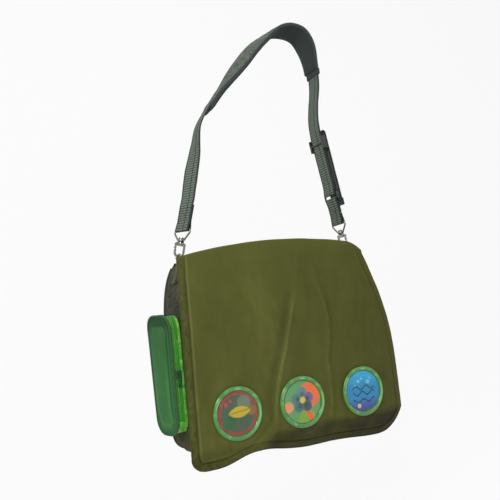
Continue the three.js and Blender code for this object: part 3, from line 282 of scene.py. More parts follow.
def nylon(name, colour, light, dark, roughness=0.6):
    cloth = Finish(name, colour, roughness, Specular_IOR_Level=0.2)
    cloth.flecked(light, 0.4, 0.75, 90)
    cloth.flecked(dark, 0.5, 0.85, 45, 3)
    slub = (cloth.grain(1.1, 2, (1, 0.08, 1)) + cloth.grain(1.1, 2, (0.08, 1, 1))) * 0.5
    cloth.paint(slub.rising(0.52, 0.68) * 0.35, dark)
    cloth.rough(cloth.grain(18, 3) * 0.2 + (roughness - 0.1))
    return cloth.woven(0.45, 0.05).raised(cloth.grain(11, 4), 0.3)


def distance(x, y, centre=(0, 0)):
    across, up = x - centre[0], y - centre[1]
    return (across * across + up * up).apply("SQRT")


def disc_mask(x, y, centre, radius, soft=0.6):
    return distance(x, y, centre).below(radius, soft)


def paint_discs(finish, *discs):
    """Paints discs, each given as a colour, a centre, a radius and the softness of its edge."""
    x, y, _ = finish.axes()
    for colour, *disc in discs:
        finish.paint(disc_mask(x, y, *disc), colour)


def leaf(finish):
    """A broad yellow leaf over a dark green one, on a red-brown border."""
    x, y, _ = finish.axes()
    finish.flecked((62, 88, 66), 0.48, 0.62, 9, 3)
    finish.paint(distance(x, y).rising(29, 31), (142, 62, 52))
    # The pale grey-green disc up to the right is a painted highlight.
    paint_discs(finish, ((104, 118, 96), (12, 16), 12, 2), ((126, 98, 58), (24, 2), 8, 1))
    lower = disc_mask(x, y, (-10, -14), 17) * disc_mask(x, y, (-22, -4), 20)
    finish.paint(lower, (34, 92, 46))
    finish.paint((x + y * 0.8 + 18).size().below(0.9, 0.5) * lower, (20, 62, 32))
    pointed = disc_mask(x, y, (4, -16), 27) * disc_mask(x, y, (2, 20), 27)
    finish.paint(pointed, (190, 168, 34))
    finish.paint((y - 2 - x * 0.12).size().below(0.7, 0.4) * pointed, (120, 104, 30))
    ribs = ((x * 0.9 - y.size() * 0.5) * 1.1).apply("SINE")
    finish.paint(ribs.rising(0.86, 0.98) * pointed, (160, 140, 40))
    paint_discs(finish, ((190, 56, 48), (-20, 16), 3.2), ((190, 56, 48), (-12, 21), 2.6))


def flower(finish):
    """A blue-grey flower with an orange sun behind it and green leaves below."""
    x, y, _ = finish.axes()
    sun, glow = ((226, 108, 58), (14, 10), 21), ((218, 146, 96), (-28, -6), 9)
    paint_discs(finish, sun, glow, ((122, 160, 52), (6, -30), 17))
    stalk = ((x - 12) * 0.9 + (y + 24) * 0.4).size().below(4.5, 0.5)
    finish.paint(stalk * y.below(-14, 0.5), (226, 96, 50))
    petal = 9
    for colour, (across, up) in (
        ((92, 128, 132), (0, 16)), ((80, 118, 118), (-12, 6)), ((104, 96, 136), (12, 6)),
        ((72, 108, 112), (-8, -8)), ((62, 84, 88), (8, -8)),
    ):
        shade = (dimmed(colour, 0.72), (across * 0.8, up * 0.8), petal * 0.45, 2)
        paint_discs(finish, (colour, (across, up), petal), shade)
    paint_discs(finish, ((206, 186, 60), (0, 3), 5.5))


def waves(finish):
    """Dark waves and pale bubbles on blue water."""
    x, y, _ = finish.axes()
    finish.paint(y.rising(-8, -30), (58, 72, 140))
    finish.paint(y.rising(4, 28), (40, 160, 206))
    for level, colour in ((-4, (20, 62, 78)), (6, (24, 74, 92)), (-17, (30, 50, 96))):
        crest = (x * 0.28 + level).apply("SINE") * 3.2 + level
        finish.paint((y - crest).size().below(1.6, 0.5) * disc_mask(x, y, (0, level), 24, 3), colour)
    for across, up, radius in ((-9, 18, 2.6), (-2, 22, 1.8), (12, 15, 3.2), (17, 21, 1.6), (-17, 11, 1.6)):
        ring = disc_mask(x, y, (across, up), radius) - disc_mask(x, y, (across, up), radius * 0.6)
        finish.paint(ring, (170, 220, 226))
    paint_discs(finish, ((204, 176, 140), (-12, -25), 4, 1))


def make_cloths():
    # The flap's cloth is painted with highlights on fold ridges and shade in their valleys, on the band above
    # the hem and at the hem's seam, and mottled.
    nylon("flap_nylon", (84, 87, 35), (89, 92, 38), (77, 79, 31), 0.66).paint_shade_and_mottle((130, 132, 70), (36, 33, 2))
    nylon("body_nylon", (62, 64, 36), (68, 70, 40), (52, 54, 30))

    gusset = Finish("gusset_fabric", (72, 70, 56), 0.85, Specular_IOR_Level=0.25)
    gusset.flecked((48, 48, 38), 0.45, 0.6, 1.6, 3, (1, 0.3, 1))
    gusset.flecked((88, 84, 70), 0.5, 0.75, 14, 3)
    # Painted shade in thin crease lines.
    gusset.crease_shade_lines((32, 32, 25), 0.5, 0.02, 16, 3, (0.7, 1, 1))
    bag_bottom, olive_run = 480, 214
    gusset.paint((gusset.axes()[1] - bag_bottom).size().below(olive_run, 12), (56, 55, 24))
    gusset.woven(0.8, 0.12).raised(gusset.grain(9, 4, (0.6, 1, 1)), 1.6)

    webbing = Finish("strap_webbing", (112, 124, 111), 0.8, Specular_IOR_Level=0.3)
    across, along, _ = webbing.axes()
    rib, thread = along.wave(WEB_RIB).size(), across.wave(0.9).size()
    ladder_line, selvedge = WEB_HALF - 4, WEB_HALF - 3.8
    webbing.flecked((126, 138, 122), 0.5, 0.8, 5, 3)
    # Painted shade in the grooves between the ribs.
    webbing.paint(rib.below(0.4, 0.3), (30, 37, 34))
    webbing.paint((across - ladder_line).size().below(1.1, 0.6), (40, 48, 44))
    webbing.paint((across - WEB_HALF).size().rising(selvedge - 0.6, selvedge + 0.6), (46, 53, 50))
    webbing.raised(rib * 0.8 + thread * 0.2, 0.7)

    pad = Finish("pad_fabric", (86, 96, 86), 0.78, Specular_IOR_Level=0.3)
    pad.flecked((60, 70, 62), 0.5, 0.75, 7, 4, (1, 0.4, 1))
    pad.flecked((116, 126, 112), 0.5, 0.66, 1.8, 3)
    # Painted shade in thin crease lines.
    pad.crease_shade_lines((44, 51, 47), 0.5, 0.01, 17, 2, (0.5, 1, 1))
    pad.crease_shade_lines((38, 44, 41), 0.56, 0.008, 13, 3, (0.4, 1.3, 1))
    pad.raised(pad.grain(7, 5, (0.35, 1.4, 1)), 2.0).woven(0.9, 0.15)

    back = Finish("pad_back", (52, 60, 58), 0.9)
    across, along, _ = back.axes()
    mesh = (across.wave(2.4) * along.wave(2.4)).size()
    # Painted shade in the grooves of the mesh.
    back.paint(mesh.below(0.25, 0.15), (30, 36, 35)).raised(mesh, 0.4)

    pocket = Finish("pocket_fabric", (52, 106, 54), 0.72, Specular_IOR_Level=0.25)
    pocket.flecked((56, 116, 58), 0.45, 0.75, 30, 3)
    # The pocket's front is painted with shade on its border and in the groove along it, with highlights
    # beside the groove, and darker towards the top.
    pocket.paint_shade_and_mottle((92, 158, 84), (22, 62, 30)).woven(0.5, 0.06).raised(pocket.grain(12, 3), 0.6)

    satin = Finish("pocket_satin", (84, 182, 56), 0.36)
    satin.flecked((134, 214, 66), 0.5, 0.68, 7, 4, (1, 0.3, 1))
    satin.flecked((36, 116, 38), 0.56, 0.74, 10, 3, (1, 0.4, 1))
    # The satin is painted lighter as a highlight along the outer side's near edge, and mottled.
    satin.paint_shade_and_mottle((176, 214, 50), (22, 84, 30)).raised(satin.grain(4, 4, (0.35, 1, 1)), 0.9)


def make_trims():
    for name, colour, pale in (
        ("pad_binding", (42, 50, 47), (58, 66, 62)),
        ("pocket_binding", (36, 82, 44), (48, 100, 54)),
        ("body_binding", (52, 54, 34), (64, 66, 42)),
        ("ring_tape", (74, 78, 62), (90, 94, 78)),
    ):
        tape = Finish(name, colour, 0.75).flecked(pale, 0.5, 0.7, 3, 3)
        tape.raised(tape.axes()[1].wave(1.2).size(), 0.2)
    Finish("zipper_tape", (88, 190, 60), 0.55).flecked((128, 212, 70), 0.5, 0.7, 4, 3).woven(0.6, 0.1)
    Finish("zipper_coil", (70, 164, 56), 0.4, True).flecked((92, 184, 66), 0.5, 0.7, 6)
    pile = Finish("closure_tape", (56, 58, 38), 0.95, True).flecked((76, 78, 54), 0.45, 0.6, 0.9, 4)
    pile.raised(pile.grain(0.7, 4), 0.6)
    for name, colour in (("thread", (104, 104, 62)), ("grey_thread", (46, 54, 52))):
        Finish(name, colour, 0.7, True).flecked(dimmed(colour, 0.75), 0.4, 0.7, 0.5)


def make_hard_finishes():
    Finish("zipper_metal", (22, 70, 36), 0.38, True, Metallic=0.35).flecked((52, 108, 60), 0.55, 0.75, 2, 3)
    chrome = Finish("hardware_metal", (128, 128, 121), 0.24, True, Metallic=1.0)
    chrome.flecked((88, 88, 82), 0.55, 0.75, 3, 4).rough(chrome.grain(1.5, 4) * 0.2 + 0.14)
    washer = Finish("badge_washer", (170, 172, 168), 0.35, True, Metallic=1.0)
    washer.rough(washer.grain(1, 4) * 0.2 + 0.25)
    plastic = Finish("adjuster_plastic", (38, 43, 41), 0.42, True).flecked((62, 68, 66), 0.55, 0.8, 2, 4)
    plastic.raised(plastic.grain(0.8, 3), 0.06)

    rim = Finish("badge_rim", (60, 128, 46), 0.2, Coat_Weight=0.6)
    x, y, _ = rim.axes()
    crest = (distance(x, y) - (LENS_RADIUS + BADGE_RADIUS) / 2).size().below(1.4, 0.8)
    rim.flecked((92, 156, 68), 0.48, 0.7, 16, 3)
    # Painted highlight: pale patches along the rim's crest.
    rim.paint(crest * rim.grain(26, 2).rising(0.42, 0.62), (128, 186, 118))
    Finish("badge_dome", (255, 255, 255), 0.03, True, Transmission_Weight=1.0, IOR=1.3, Alpha=0.22)
    for name, base, motif in (
        ("left_print", (64, 84, 60), leaf), ("middle_print", (92, 150, 92), flower),
        ("right_print", (24, 132, 184), waves),
    ):
        picture = Finish(name, base, 0.45)
        motif(picture)
        picture.rough(picture.grain(3, 2) * 0.1 + 0.4)


make_cloths()
make_trims()
make_hard_finishes()


# Shape tools
def keep_shade_and_mottle(mesh, shade_and_mottle_at):
    """Keeps painted shade and light, with any mottling, from 0, dark, to 1, light, at each corner of a piece.
    """
    layer = mesh.verts.layers.float.new("shade_and_mottle")
    for vert in mesh.verts:
        vert[layer] = min(max(shade_and_mottle_at(vert.co), 0), 1)


def grid_piece(across, along, place, uv=(1, 1), wrap=False, closed=False, capped=True):
    """A sheet of across by along faces, each corner placed by place(share across, share along).

    wrap joins the sheet's sides into a tube, closed joins its ends into a ring, and capped
    covers a tube's open ends. uv is the cloth's size, or a function like place, in millimetres.
    """
    mesh = bmesh.new()
    layer = mesh.loops.layers.uv.new("cloth")
    bmesh.ops.create_grid(mesh, x_segments=across, y_segments=along, size=0.5, calc_uvs=True)
    shares = {
        vert: (round((vert.co.x + 0.5) * across) / across, round((vert.co.y + 0.5) * along) / along)
        for vert in mesh.verts
    }
    uv_at = uv if callable(uv) else (lambda a, b: (a * uv[0], b * uv[1]))
    for face in mesh.faces:
        for loop in face.loops:
            loop[layer].uv = uv_at(*shares[loop.vert])
    for vert, share in shares.items():
        vert.co = place(*share)
    if wrap or closed:
        bmesh.ops.remove_doubles(mesh, verts=mesh.verts, dist=0.002)
    if wrap and not closed and capped:
        bmesh.ops.holes_fill(mesh, edges=[edge for edge in mesh.edges if edge.is_boundary])
    bmesh.ops.recalc_face_normals(mesh, faces=mesh.faces)
    return mesh


def thickened(mesh, thickness, facing=None, centre=None):
    """Gives a sheet its thickness behind the side that faces a direction or away from a centre."""
    turned = 0.0
    for face in mesh.faces:
        towards = facing or (face.calc_center_median() - centre)
        turned += face.normal.dot(towards.normalized()) * face.calc_area()
    if turned < 0:
        bmesh.ops.reverse_faces(mesh, faces=mesh.faces)
    bmesh.ops.solidify(mesh, geom=mesh.faces[:], thickness=thickness)
    return mesh


def lengths_along(path):
    found = [0.0]
    for a, b in zip(path, path[1:]):
        found.append(found[-1] + (b - a).length)
    return found


def tangents(path, closed=False):
    last = len(path) - 1
    found = []
    for index in range(len(path)):
        before = path[index - 1] if index or closed else path[0]
        after = path[(index + 1) % len(path)] if index < last or closed else path[last]
        found.append((after - before).normalized())
    return found


def sweep(path, outline, across, closed=False):
    """A tube along a path. The outline's points are (a, b): a along across, b outwards."""
    directions = tangents(path, closed)
    sides = len(outline)
    rows = len(path) if closed else len(path) - 1
    rings = []
    for index, point in enumerate(path):
        wide = (across(index) if callable(across) else across).normalized()
        outward = directions[index].cross(wide).normalized()
        rings.append([point + wide * a + outward * b for a, b in outline])
    girth = sum(math.dist(outline[i], outline[i - 1]) for i in range(sides))

    def place(share_across, share_along):
        ring = rings[round(share_along * rows) % len(rings)]
        return ring[round(share_across * sides) % sides]

    return grid_piece(sides, rows, place, uv=(girth, lengths_along(path)[-1]), wrap=True, closed=closed)


def on_circle(radius, degrees):
    return radius * math.cos(math.radians(degrees)), radius * math.sin(math.radians(degrees))


def disc(radius, sides=12):
    return [on_circle(radius, 360 * i / sides) for i in range(sides)]


def pillow(half_a, half_b, radius, steps=3):
    """A rectangle with rounded corners, as points round its outline."""
    points = []
    for side_a, side_b, start in ((1, 1, 0), (-1, 1, 90), (-1, -1, 180), (1, -1, 270)):
        for a, b in (on_circle(radius, start + 90 * step / steps) for step in range(steps + 1)):
            points.append((side_a * (half_a - radius) + a, side_b * (half_b - radius) + b))
    return points


def spun(profile, segments=64):
    """A turned shape about +Z: profile is a list of (radius, height)."""
    mesh = bmesh.new()
    verts = [mesh.verts.new((radius, 0, height)) for radius, height in profile]
    edges = [mesh.edges.new(pair) for pair in zip(verts, verts[1:])]
    bmesh.ops.spin(
        mesh, geom=verts + edges, cent=(0, 0, 0), axis=(0, 0, 1), angle=2 * math.pi,
        steps=segments, use_merge=True,
    )
    bmesh.ops.remove_doubles(mesh, verts=mesh.verts, dist=0.002)
    bmesh.ops.recalc_face_normals(mesh, faces=mesh.faces)
    return mesh


def added(target, other):
    """The other shape joined into the first as a separate shell."""
    holder = bpy.data.meshes.new("joined")
    other.to_mesh(holder)
    other.free()
    target.from_mesh(holder)
    bpy.data.meshes.remove(holder)
    return target


def dress(name, mesh, body, finish, stands_for=(), sharp=50):
    """Puts a finished shape in the frame with its material, on its body where the body is given by name."""
    bmesh.ops.transform(mesh, matrix=TO_ROW, verts=mesh.verts)
    for edge in mesh.edges:
        if len(edge.link_faces) == 2 and edge.calc_face_angle() > math.radians(sharp):
            edge.smooth = False
    data = bpy.data.meshes.new(name)
    mesh.to_mesh(data)
    mesh.free()
    data.shade_smooth()
    data.materials.append(finishes[finish].material)
    piece = bpy.data.objects.new(name, data)
    bpy.context.scene.collection.objects.link(piece)
    if isinstance(body, str):
        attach(piece, body)
    else:
        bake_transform(piece)
    if stands_for:
        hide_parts(*stands_for)
    return piece


STITCH_HALF, STITCH_RADIUS = 1.3, 0.32


def stitched(name, runs, body, finish, pitch=3.6):
    """Rows of stitches: each run is a list of (point, normal) along the seam."""
    mesh = bmesh.new()
    shape = Matrix.Diagonal((STITCH_HALF, STITCH_RADIUS, STITCH_RADIUS, 1))
    for run in runs:
        left_over = 0.0
        for (start, normal), (end, _) in zip(run, run[1:]):
            span, along = (end - start).length, (end - start).normalized()
            turn = Matrix((along, along.cross(normal).normalized(), normal)).transposed().to_4x4()
            place = left_over
            while place < span:
                centre = Matrix.Translation(start + along * place + normal * STITCH_RADIUS * 0.3)
                bmesh.ops.create_icosphere(mesh, subdivisions=1, radius=1, matrix=centre @ turn @ shape)
                place += pitch
            left_over = place - span
    dress(name, mesh, body, finish, sharp=180)


def crossed_box(half, low, high):
    """The places of a box of stitches with a cross in it."""
    return [
        (-half, low), (half, low), (half, high), (-half, high), (-half, low), (half, high), (half, low),
        (-half, high),
    ]


def polish(name, finish, width):
    """Shows a node of the frame with its edges rounded off, by a width in millimetres."""
    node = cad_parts[name]
    node.modifiers.new("weld", "WELD").merge_threshold = 0.00001
    bevel = node.modifiers.new("bevel", "BEVEL")
    bevel.width, bevel.segments, bevel.limit_method = width / 1000, 2, "ANGLE"
    bevel.angle_limit = math.radians(35)
    node.data.materials.clear()
    node.data.materials.append(finishes[finish].material)


# Camera
VIEW_RIGHT, VIEW_UP = Vector((0.907, -0.409, -0.104)), Vector((0.052, -0.137, 0.989))
VIEW_PLACE, VIEW_SENSOR, VIEW_LENS = (-497, -991, -106), 36, 43.27


def set_camera():
    right = VIEW_RIGHT.normalized()
    up = (VIEW_UP - right * VIEW_UP.dot(right)).normalized()
    data = bpy.data.cameras.new("view")
    data.sensor_width, data.sensor_fit, data.lens = VIEW_SENSOR, "HORIZONTAL", VIEW_LENS
    camera = bpy.data.objects.new("view", data)
    turn = Matrix((right, up, right.cross(up))).transposed().to_4x4()
    camera.matrix_world = Matrix.Translation(row_point(*VIEW_PLACE)) @ turn
    bpy.context.scene.collection.objects.link(camera)
    bpy.context.scene.camera = camera


# Floor and light, in metres
FLOOR_Z, FLOOR_FRONT, FLOOR_BACK, FLOOR_WIDE = -1.02, -4.0, 0.9, 9
WALL_ROUND, WALL_TOP = 0.6, 3.0
LIT_PLACE = Vector((-0.08, 0, -0.5))
WHITE = (1, 1, 1, 1)


def lamp(name, place, size, energy):
    data = bpy.data.lights.new(name, "AREA")
    data.shape, data.size, data.size_y, data.energy = "RECTANGLE", size, size, energy
    light = bpy.data.objects.new(name, data)
    turn = (LIT_PLACE - Vector(place)).to_track_quat("-Z", "Y").to_matrix().to_4x4()
    light.matrix_world = Matrix.Translation(place) @ turn
    bpy.context.scene.collection.objects.link(light)


def show_white(tree, lit, kind, share, output):
    """White where the camera sees it, also in metal and through glass, and unchanged as light on the bag."""
    path = add_node(tree, "LightPath", {})
    seen = [Term(tree, path.outputs[f"Is {ray} Ray"]) for ray in ("Camera", "Glossy", "Transmission")]
    shown = seen[0].top(seen[1]).top(seen[2]) * share
    white = add_node(tree, kind, {"Color": WHITE})
    blend = add_node(tree, "MixShader", {0: shown.socket, 1: lit.outputs[0], 2: white.outputs[0]})
    tree.links.new(blend.outputs[0], tree.nodes[output].inputs["Surface"])


def set_stage():
    world = bpy.data.worlds.new("studio")
    bpy.context.scene.world = world
    world.use_nodes = True
    sky = world.node_tree.nodes["Background"]
    sky.inputs["Color"].default_value = WHITE
    sky.inputs["Strength"].default_value = 0.32
    show_white(world.node_tree, sky, "Background", 1, "World Output")
    paper = Finish("floor_paper", (244, 244, 244), 0.9, True)
    show_white(paper.tree, paper.shader, "Emission", 0.9, "Material Output")

    profile = [(FLOOR_FRONT, FLOOR_Z), (FLOOR_BACK, FLOOR_Z)]
    for angle in range(10, 91, 10):
        down, back = on_circle(WALL_ROUND, angle)
        profile.append((FLOOR_BACK + back, FLOOR_Z + WALL_ROUND - down))
    profile.append((FLOOR_BACK + WALL_ROUND, WALL_TOP))
    last = len(profile) - 1
    sheet = bmesh.new()
    bmesh.ops.create_grid(sheet, x_segments=1, y_segments=last, size=0.5)
    for vert in sheet.verts:
        vert.co = (vert.co.x * FLOOR_WIDE, *profile[round((vert.co.y + 0.5) * last)])
    data = bpy.data.meshes.new("floor")
    sheet.to_mesh(data)
    sheet.free()
    data.shade_smooth()
    data.materials.append(paper.material)
    floor = bpy.data.objects.new("floor", data)
    bpy.context.scene.collection.objects.link(floor)

    lamp("key", (-1.5, -1.7, 0.5), 0.7, 30)
    lamp("fill", (1.3, -1.5, 0.1), 1.4, 2)
    lamp("top", (0.1, 0.0, 1.3), 1.6, 9)
    bpy.context.scene.view_settings.view_transform = "Standard"


set_camera()
set_stage()


# Flap, its folds as lines of (height, place) and the top of the band above the hem, where the cloth turns
# under and is painted in shade, as a line of (place, height)
LONG_FOLD = [(-60, 14), (-93, 3), (-124, -6), (-168, -20), (-203, -33), (-232, -42), (-267, -50), (-300, -54)]
WAVY_FOLD = [
    (-50, 58), (-89, 69), (-122, 76), (-154, 76), (-179, 72), (-204, 65), (-229, 69), (-279, 66), (-309, 58),
]
BAND_EDGE = [
    (-200, -318), (-134, -318), (-99, -322), (-78, -328), (-45, -308), (18, -309), (55, -305), (111, -307),
    (210, -310),
]
# Short folds: start, end, height and width
SHORT_FOLDS = [
    ((-50, -282), (-102, -326), 2.2, 5),
    ((-42, -306), (-92, -330), 1.8, 4),
    ((18, -20), (52, -66), 1.6, 10),
    ((44, -18), (66, -52), -1.4, 8),
    ((-60, -40), (-30, -120), 0.9, 14),
    ((150, -60), (120, -150), 1.2, 16),
]
# Bells across each fold, and in from the flap's edge, for the relief and for the painted highlight and shade
LONG_RELIEF = [(2.6, 6, 5), (-3.0, -3, 6), (1.2, 24, 16)]
LONG_FOLD_SHADE = [(0.2, 6, 2.5), (-0.16, -1, 3), (-0.05, -9, 9)]
WAVY_RELIEF, WAVY_FOLD_SHADE = [(1.5, 0, 3), (-0.9, -7, 5), (-0.9, 7, 6)], [(0.16, 0, 1.8), (-0.06, 6, 5)]
EDGE_RELIEF, EDGE_SHADE = [(0.9, 6.5, 4.5), (-1.5, SEAM_INSET, 1.7), (0.4, 17, 3)], [(-0.12, 1, 1.6)]
RELIEF_LIMIT = 4.5
FLAP_BEND = ("flap_top", "flap_front", (0, -50, -17), (0, -50, -60))


def corner_inset(z, bottom, radius):
    across = min(max(bottom + radius - z, 0), radius)
    return radius - math.sqrt(max(radius**2 - across**2, 0))


def wrap_at(x):
    return WRAP_DEPTH * (max(x - WRAP_X, 0) / WRAP_RUN) ** 2


def flap_left(z):
    return FLAP_LEFT - FLAP_SPREAD * z / HEM_Z + corner_inset(z, HEM_Z, LEFT_CORNER)


def flap_right(z):
    flare = FLARE * math.sin(min(-z / FLARE_DEPTH, 1) * math.pi / 2)
    return FLAP_RIGHT + flare - corner_inset(z, HEM_Z, RIGHT_CORNER)


def hem_at(x):
    rise = HEM_RISE * bell(x - HEM_RISE_X, HEM_RISE_RUN)
    fall = HEM_FALL * smooth(x, 50, 170) + HEM_LEFT_FALL * smooth(-x, 120, 185)
    return HEM_Z + rise - fall - bells(x, HEM_SAGS)


def from_edge(x, z):
    return min(x - flap_left(z), flap_right(z) - x, z - hem_at(x))


def crown_at(x):
    arch = CROWN_LEFT * (x / FLAP_LEFT) ** 2 if x < 0 else CROWN_RIGHT * (x / SHOULDER_X) ** 2
    past = max(x - SHOULDER_X, 0) / (flap_right(SPLIT_Z) - SHOULDER_X)
    return CROWN_Z - arch - SHOULDER_DROP * past**2


def line_at(points, value):
    """The second number of a list of pairs, read off at a value of the first."""
    for (a, first), (b, second) in zip(points, points[1:]):
        if min(a, b) <= value <= max(a, b):
            return mix(first, second, (value - a) / (b - a))
    return min(points[0], points[-1], key=lambda point: abs(value - point[0]))[1]


def off_segment(x, z, start, end):
    """Signed distance from a segment, and the share along it."""
    run_x, run_z = end[0] - start[0], end[1] - start[1]
    length = math.hypot(run_x, run_z)
    share = ((x - start[0]) * run_x + (z - start[1]) * run_z) / length**2
    side = ((x - start[0]) * run_z - (z - start[1]) * run_x) / length
    return side, share


def flap_relief(x, z):
    """How far the flap's cloth stands out towards the viewer."""
    held = smooth(z, -305, -270) * (1 - smooth(z, -110, -60))
    rise = held * bells(x - line_at(LONG_FOLD, z), LONG_RELIEF)
    held = smooth(z, -320, -270) * (1 - smooth(z, -90, -40))
    rise += held * bells(x - line_at(WAVY_FOLD, z), WAVY_RELIEF)
    for start, end, height, width in SHORT_FOLDS:
        off, share = off_segment(x, z, start, end)
        held = smooth(share, -0.1, 0.2) * (1 - smooth(share, 0.8, 1.15))
        rise += held * height * (bell(off - width * 0.7, width) - bell(off + width * 0.7, width))
    rise += 2.2 * ripple(x, 0, z * 0.45, 75) + 0.9 * ripple(x, 3, z * 0.6, 30)
    below = max(line_at(BAND_EDGE, x) - z, 0)
    rise -= 0.5 * below * (1 - 0.6 * smooth(-x, 60, 150))
    near = min(math.hypot(x - badge, z - BADGE_Z) for badge in BADGE_XS)
    rise *= smooth(near, BADGE_RADIUS + 1, BADGE_RADIUS + 16)
    edge = from_edge(x, z)
    rise += bells(edge, EDGE_RELIEF)
    rise += bell(edge - 7, 8) * (0.6 + 0.8 * smooth(-x, 100, 180)) * ripple(x * 1.6, z * 1.6, 5, 13)
    return min(max(rise, -RELIEF_LIMIT - below * 0.6), RELIEF_LIMIT) * smooth(-z, 16, 40)


def flap_shade_and_mottle(point):
    """Painted light and shade on the cloth, with mottling: highlights on fold ridges and shade in their
    valleys, shade towards the right, over the band above the hem and in the hem's seam, a highlight beside
    the seam, lighter patches near the top and a darker outer strip on the left hem.
    """
    x, z = point.x, point.z
    held = smooth(z, -305, -270) * (1 - smooth(z, -120, -60))
    # Painted highlights on the folds' ridges and painted shade in their valleys.
    shade_and_mottle = 0.5 + held * bells(x - line_at(LONG_FOLD, z), LONG_FOLD_SHADE)
    held = smooth(z, -330, -280) * (1 - smooth(z, -90, -40))
    shade_and_mottle += held * bells(x - line_at(WAVY_FOLD, z), WAVY_FOLD_SHADE)
    shade_and_mottle += 0.1 * bell(x - 30, 34) * bell(z + 90, 50) * (ripple(x * 1.6, z * 0.5, 12, 18) + 0.4)
    # Painted shade: darker towards the right, where the cloth turns away from the light.
    shade_and_mottle -= 0.06 * smooth(x, 40, 170) + 0.05 * smooth(x, -60, 60)
    # Painted shade over the band above the hem, where the cloth tilts down and under, with mottling in it.
    below = line_at(BAND_EDGE, x) - z + 5 * ripple(x, z * 0.4, 8, 17)
    shade_and_mottle -= smooth(below, -6, 10) * mix(0.14, 0.34, smooth(x, -95, -35))
    shade_and_mottle += 0.16 * bell(below - 20, 12) * ripple(x * 0.6, z * 1.5, 4, 22)
    shade_and_mottle += 0.07 * ripple(x, z * 0.4, 21, 46) + 0.05 * ripple(x * 1.4, z * 0.5, 17, 12)
    edge, left = from_edge(x, z), smooth(-x, 100, 180)
    # Painted shade at the edge and in the hem's seam, a painted highlight beside the seam, and a darker outer
    # strip with mottled puckers on the left hem.
    shade_and_mottle += bells(edge, EDGE_SHADE) - (0.14 + 0.12 * left) * bell(edge - SEAM_INSET, 1.5)
    shade_and_mottle += (0.05 + 0.12 * left) * bell(edge - 16, 1.8) - 0.1 * left * (1 - smooth(edge, 9, 12))
    shade_and_mottle += 0.24 * left * bell(edge - 5, 5) * ripple(x * 1.3, z * 1.3, 7, 9)
    return mix(shade_and_mottle, 0.5, smooth(z, SPLIT_Z, CROWN_Z - 6))


def flap_point(x, z):
    lean = 2.5 * smooth(-z, 330, 350) * smooth(-x, 120, 190)
    return Vector((x, FLAP_Y + wrap_at(x) - flap_relief(x, z) - lean, z))


def denser(share):
    """Columns of the flap's cloth, closer together towards its side edges."""
    return share - 0.62 * math.sin(2 * math.pi * share) / (2 * math.pi)


def flap_front_place(share_across, share_up):
    share_down = 1 - share_up
    level = mix(SPLIT_Z, HEM_Z, share_down + 0.12 * math.sin(math.pi * share_down))
    x = mix(flap_left(level), flap_right(level), denser(share_across))
    z = level + (hem_at(x) - HEM_Z) * (level - SPLIT_Z) / (HEM_Z - SPLIT_Z)
    return flap_point(x, z)


def flap_top_place(share_across, share_up):
    """From the back seam forward over the mouth, round the fold and down the front lip."""
    share_down = 1 - share_up
    seam_y, fold_y = BACK_Y - 3, FLAP_Y + FOLD_RADIUS
    flat_share, turn_share = 0.72, 0.9
    forward = min(share_down / flat_share, 1)
    y = mix(seam_y, fold_y, forward)
    wide = smooth((STRIP_NECK_Y - y) / (STRIP_NECK_Y - fold_y), 0, 1)
    left = mix(CENTRE_X - STRIP_HALF, flap_left(SPLIT_Z), wide)
    right = mix(CENTRE_X + STRIP_HALF, flap_right(SPLIT_Z), wide)
    x = mix(left, right, denser(share_across))
    sag = 0.8 * ripple(x, y, 0, 40)
    if share_down <= flat_share:
        top = mix(STRIP_SEAM_Z, crown_at(x), math.sin(forward * math.pi / 2))
        return Vector((x, y + wrap_at(x) * forward, top + sag * smooth(forward, 0.05, 0.3)))
    if share_down <= turn_share:
        down, back = on_circle(FOLD_RADIUS, (share_down - flat_share) / (turn_share - flat_share) * 90)
        top = crown_at(x) + sag * down / FOLD_RADIUS
        return Vector((x, fold_y + wrap_at(x) - back, top - FOLD_RADIUS + down))
    lip = mix(crown_at(x) - FOLD_RADIUS, SPLIT_Z, (share_down - turn_share) / (1 - turn_share))
    return Vector((x, FLAP_Y + wrap_at(x), lip))


def corner_points(edge_at, radius):
    """The flap's outline round a bottom corner, down to the hem."""
    levels = [HEM_Z + radius * (1 - math.sin(math.radians(angle))) for angle in range(10, 91, 10)]
    return [(edge_at(z), z + hem_at(edge_at(z)) - HEM_Z) for z in levels]


def make_flap():
    columns, out = 150, Vector((0, -1, 0))
    front = grid_piece(columns, 120, flap_front_place, uv=lambda a, b: (denser(a) * 420, b * 330))
    keep_shade_and_mottle(thickened(front, FLAP_THICK, out), flap_shade_and_mottle)
    cloth = dress("flap_front", front, FLAP_BEND, "flap_nylon", ("flap_cloth", "flap_lining"))
    top = grid_piece(columns, 46, flap_top_place, uv=lambda a, b: (denser(a) * 380, b * 125))
    keep_shade_and_mottle(thickened(top, FLAP_THICK, Vector((0, -1, 2))), flap_shade_and_mottle)
    bend = ("bag", "flap_top", (0, BACK_Y - 3, -3), (0, BACK_Y - 24, -3))
    strip = dress("flap_top", top, bend, "flap_nylon", ("flap_top_cloth", "flap_top_lining"))

    outline = [(flap_left(z), z) for z in range(-18, int(HEM_Z) + LEFT_CORNER, -3)]
    outline += corner_points(flap_left, LEFT_CORNER)
    outline += [(x, hem_at(x)) for x in range(-176, 171, 3)]
    outline += corner_points(flap_right, RIGHT_CORNER)[::-1]
    outline += [(flap_right(z), z) for z in range(int(HEM_Z) + RIGHT_CORNER + 1, -18, 3)]
    inset, run = 10.2, []
    for before, point, after in zip(outline, outline[1:], outline[2:]):
        along = Vector((after[0] - before[0], after[1] - before[1])).normalized()
        place = flap_point(point[0] - along.y * inset, point[1] + along.x * inset)
        run.append((place + out * 0.1, out))
    stitched("flap_stitches", [run], FLAP_BEND, "thread", pitch=4.0)


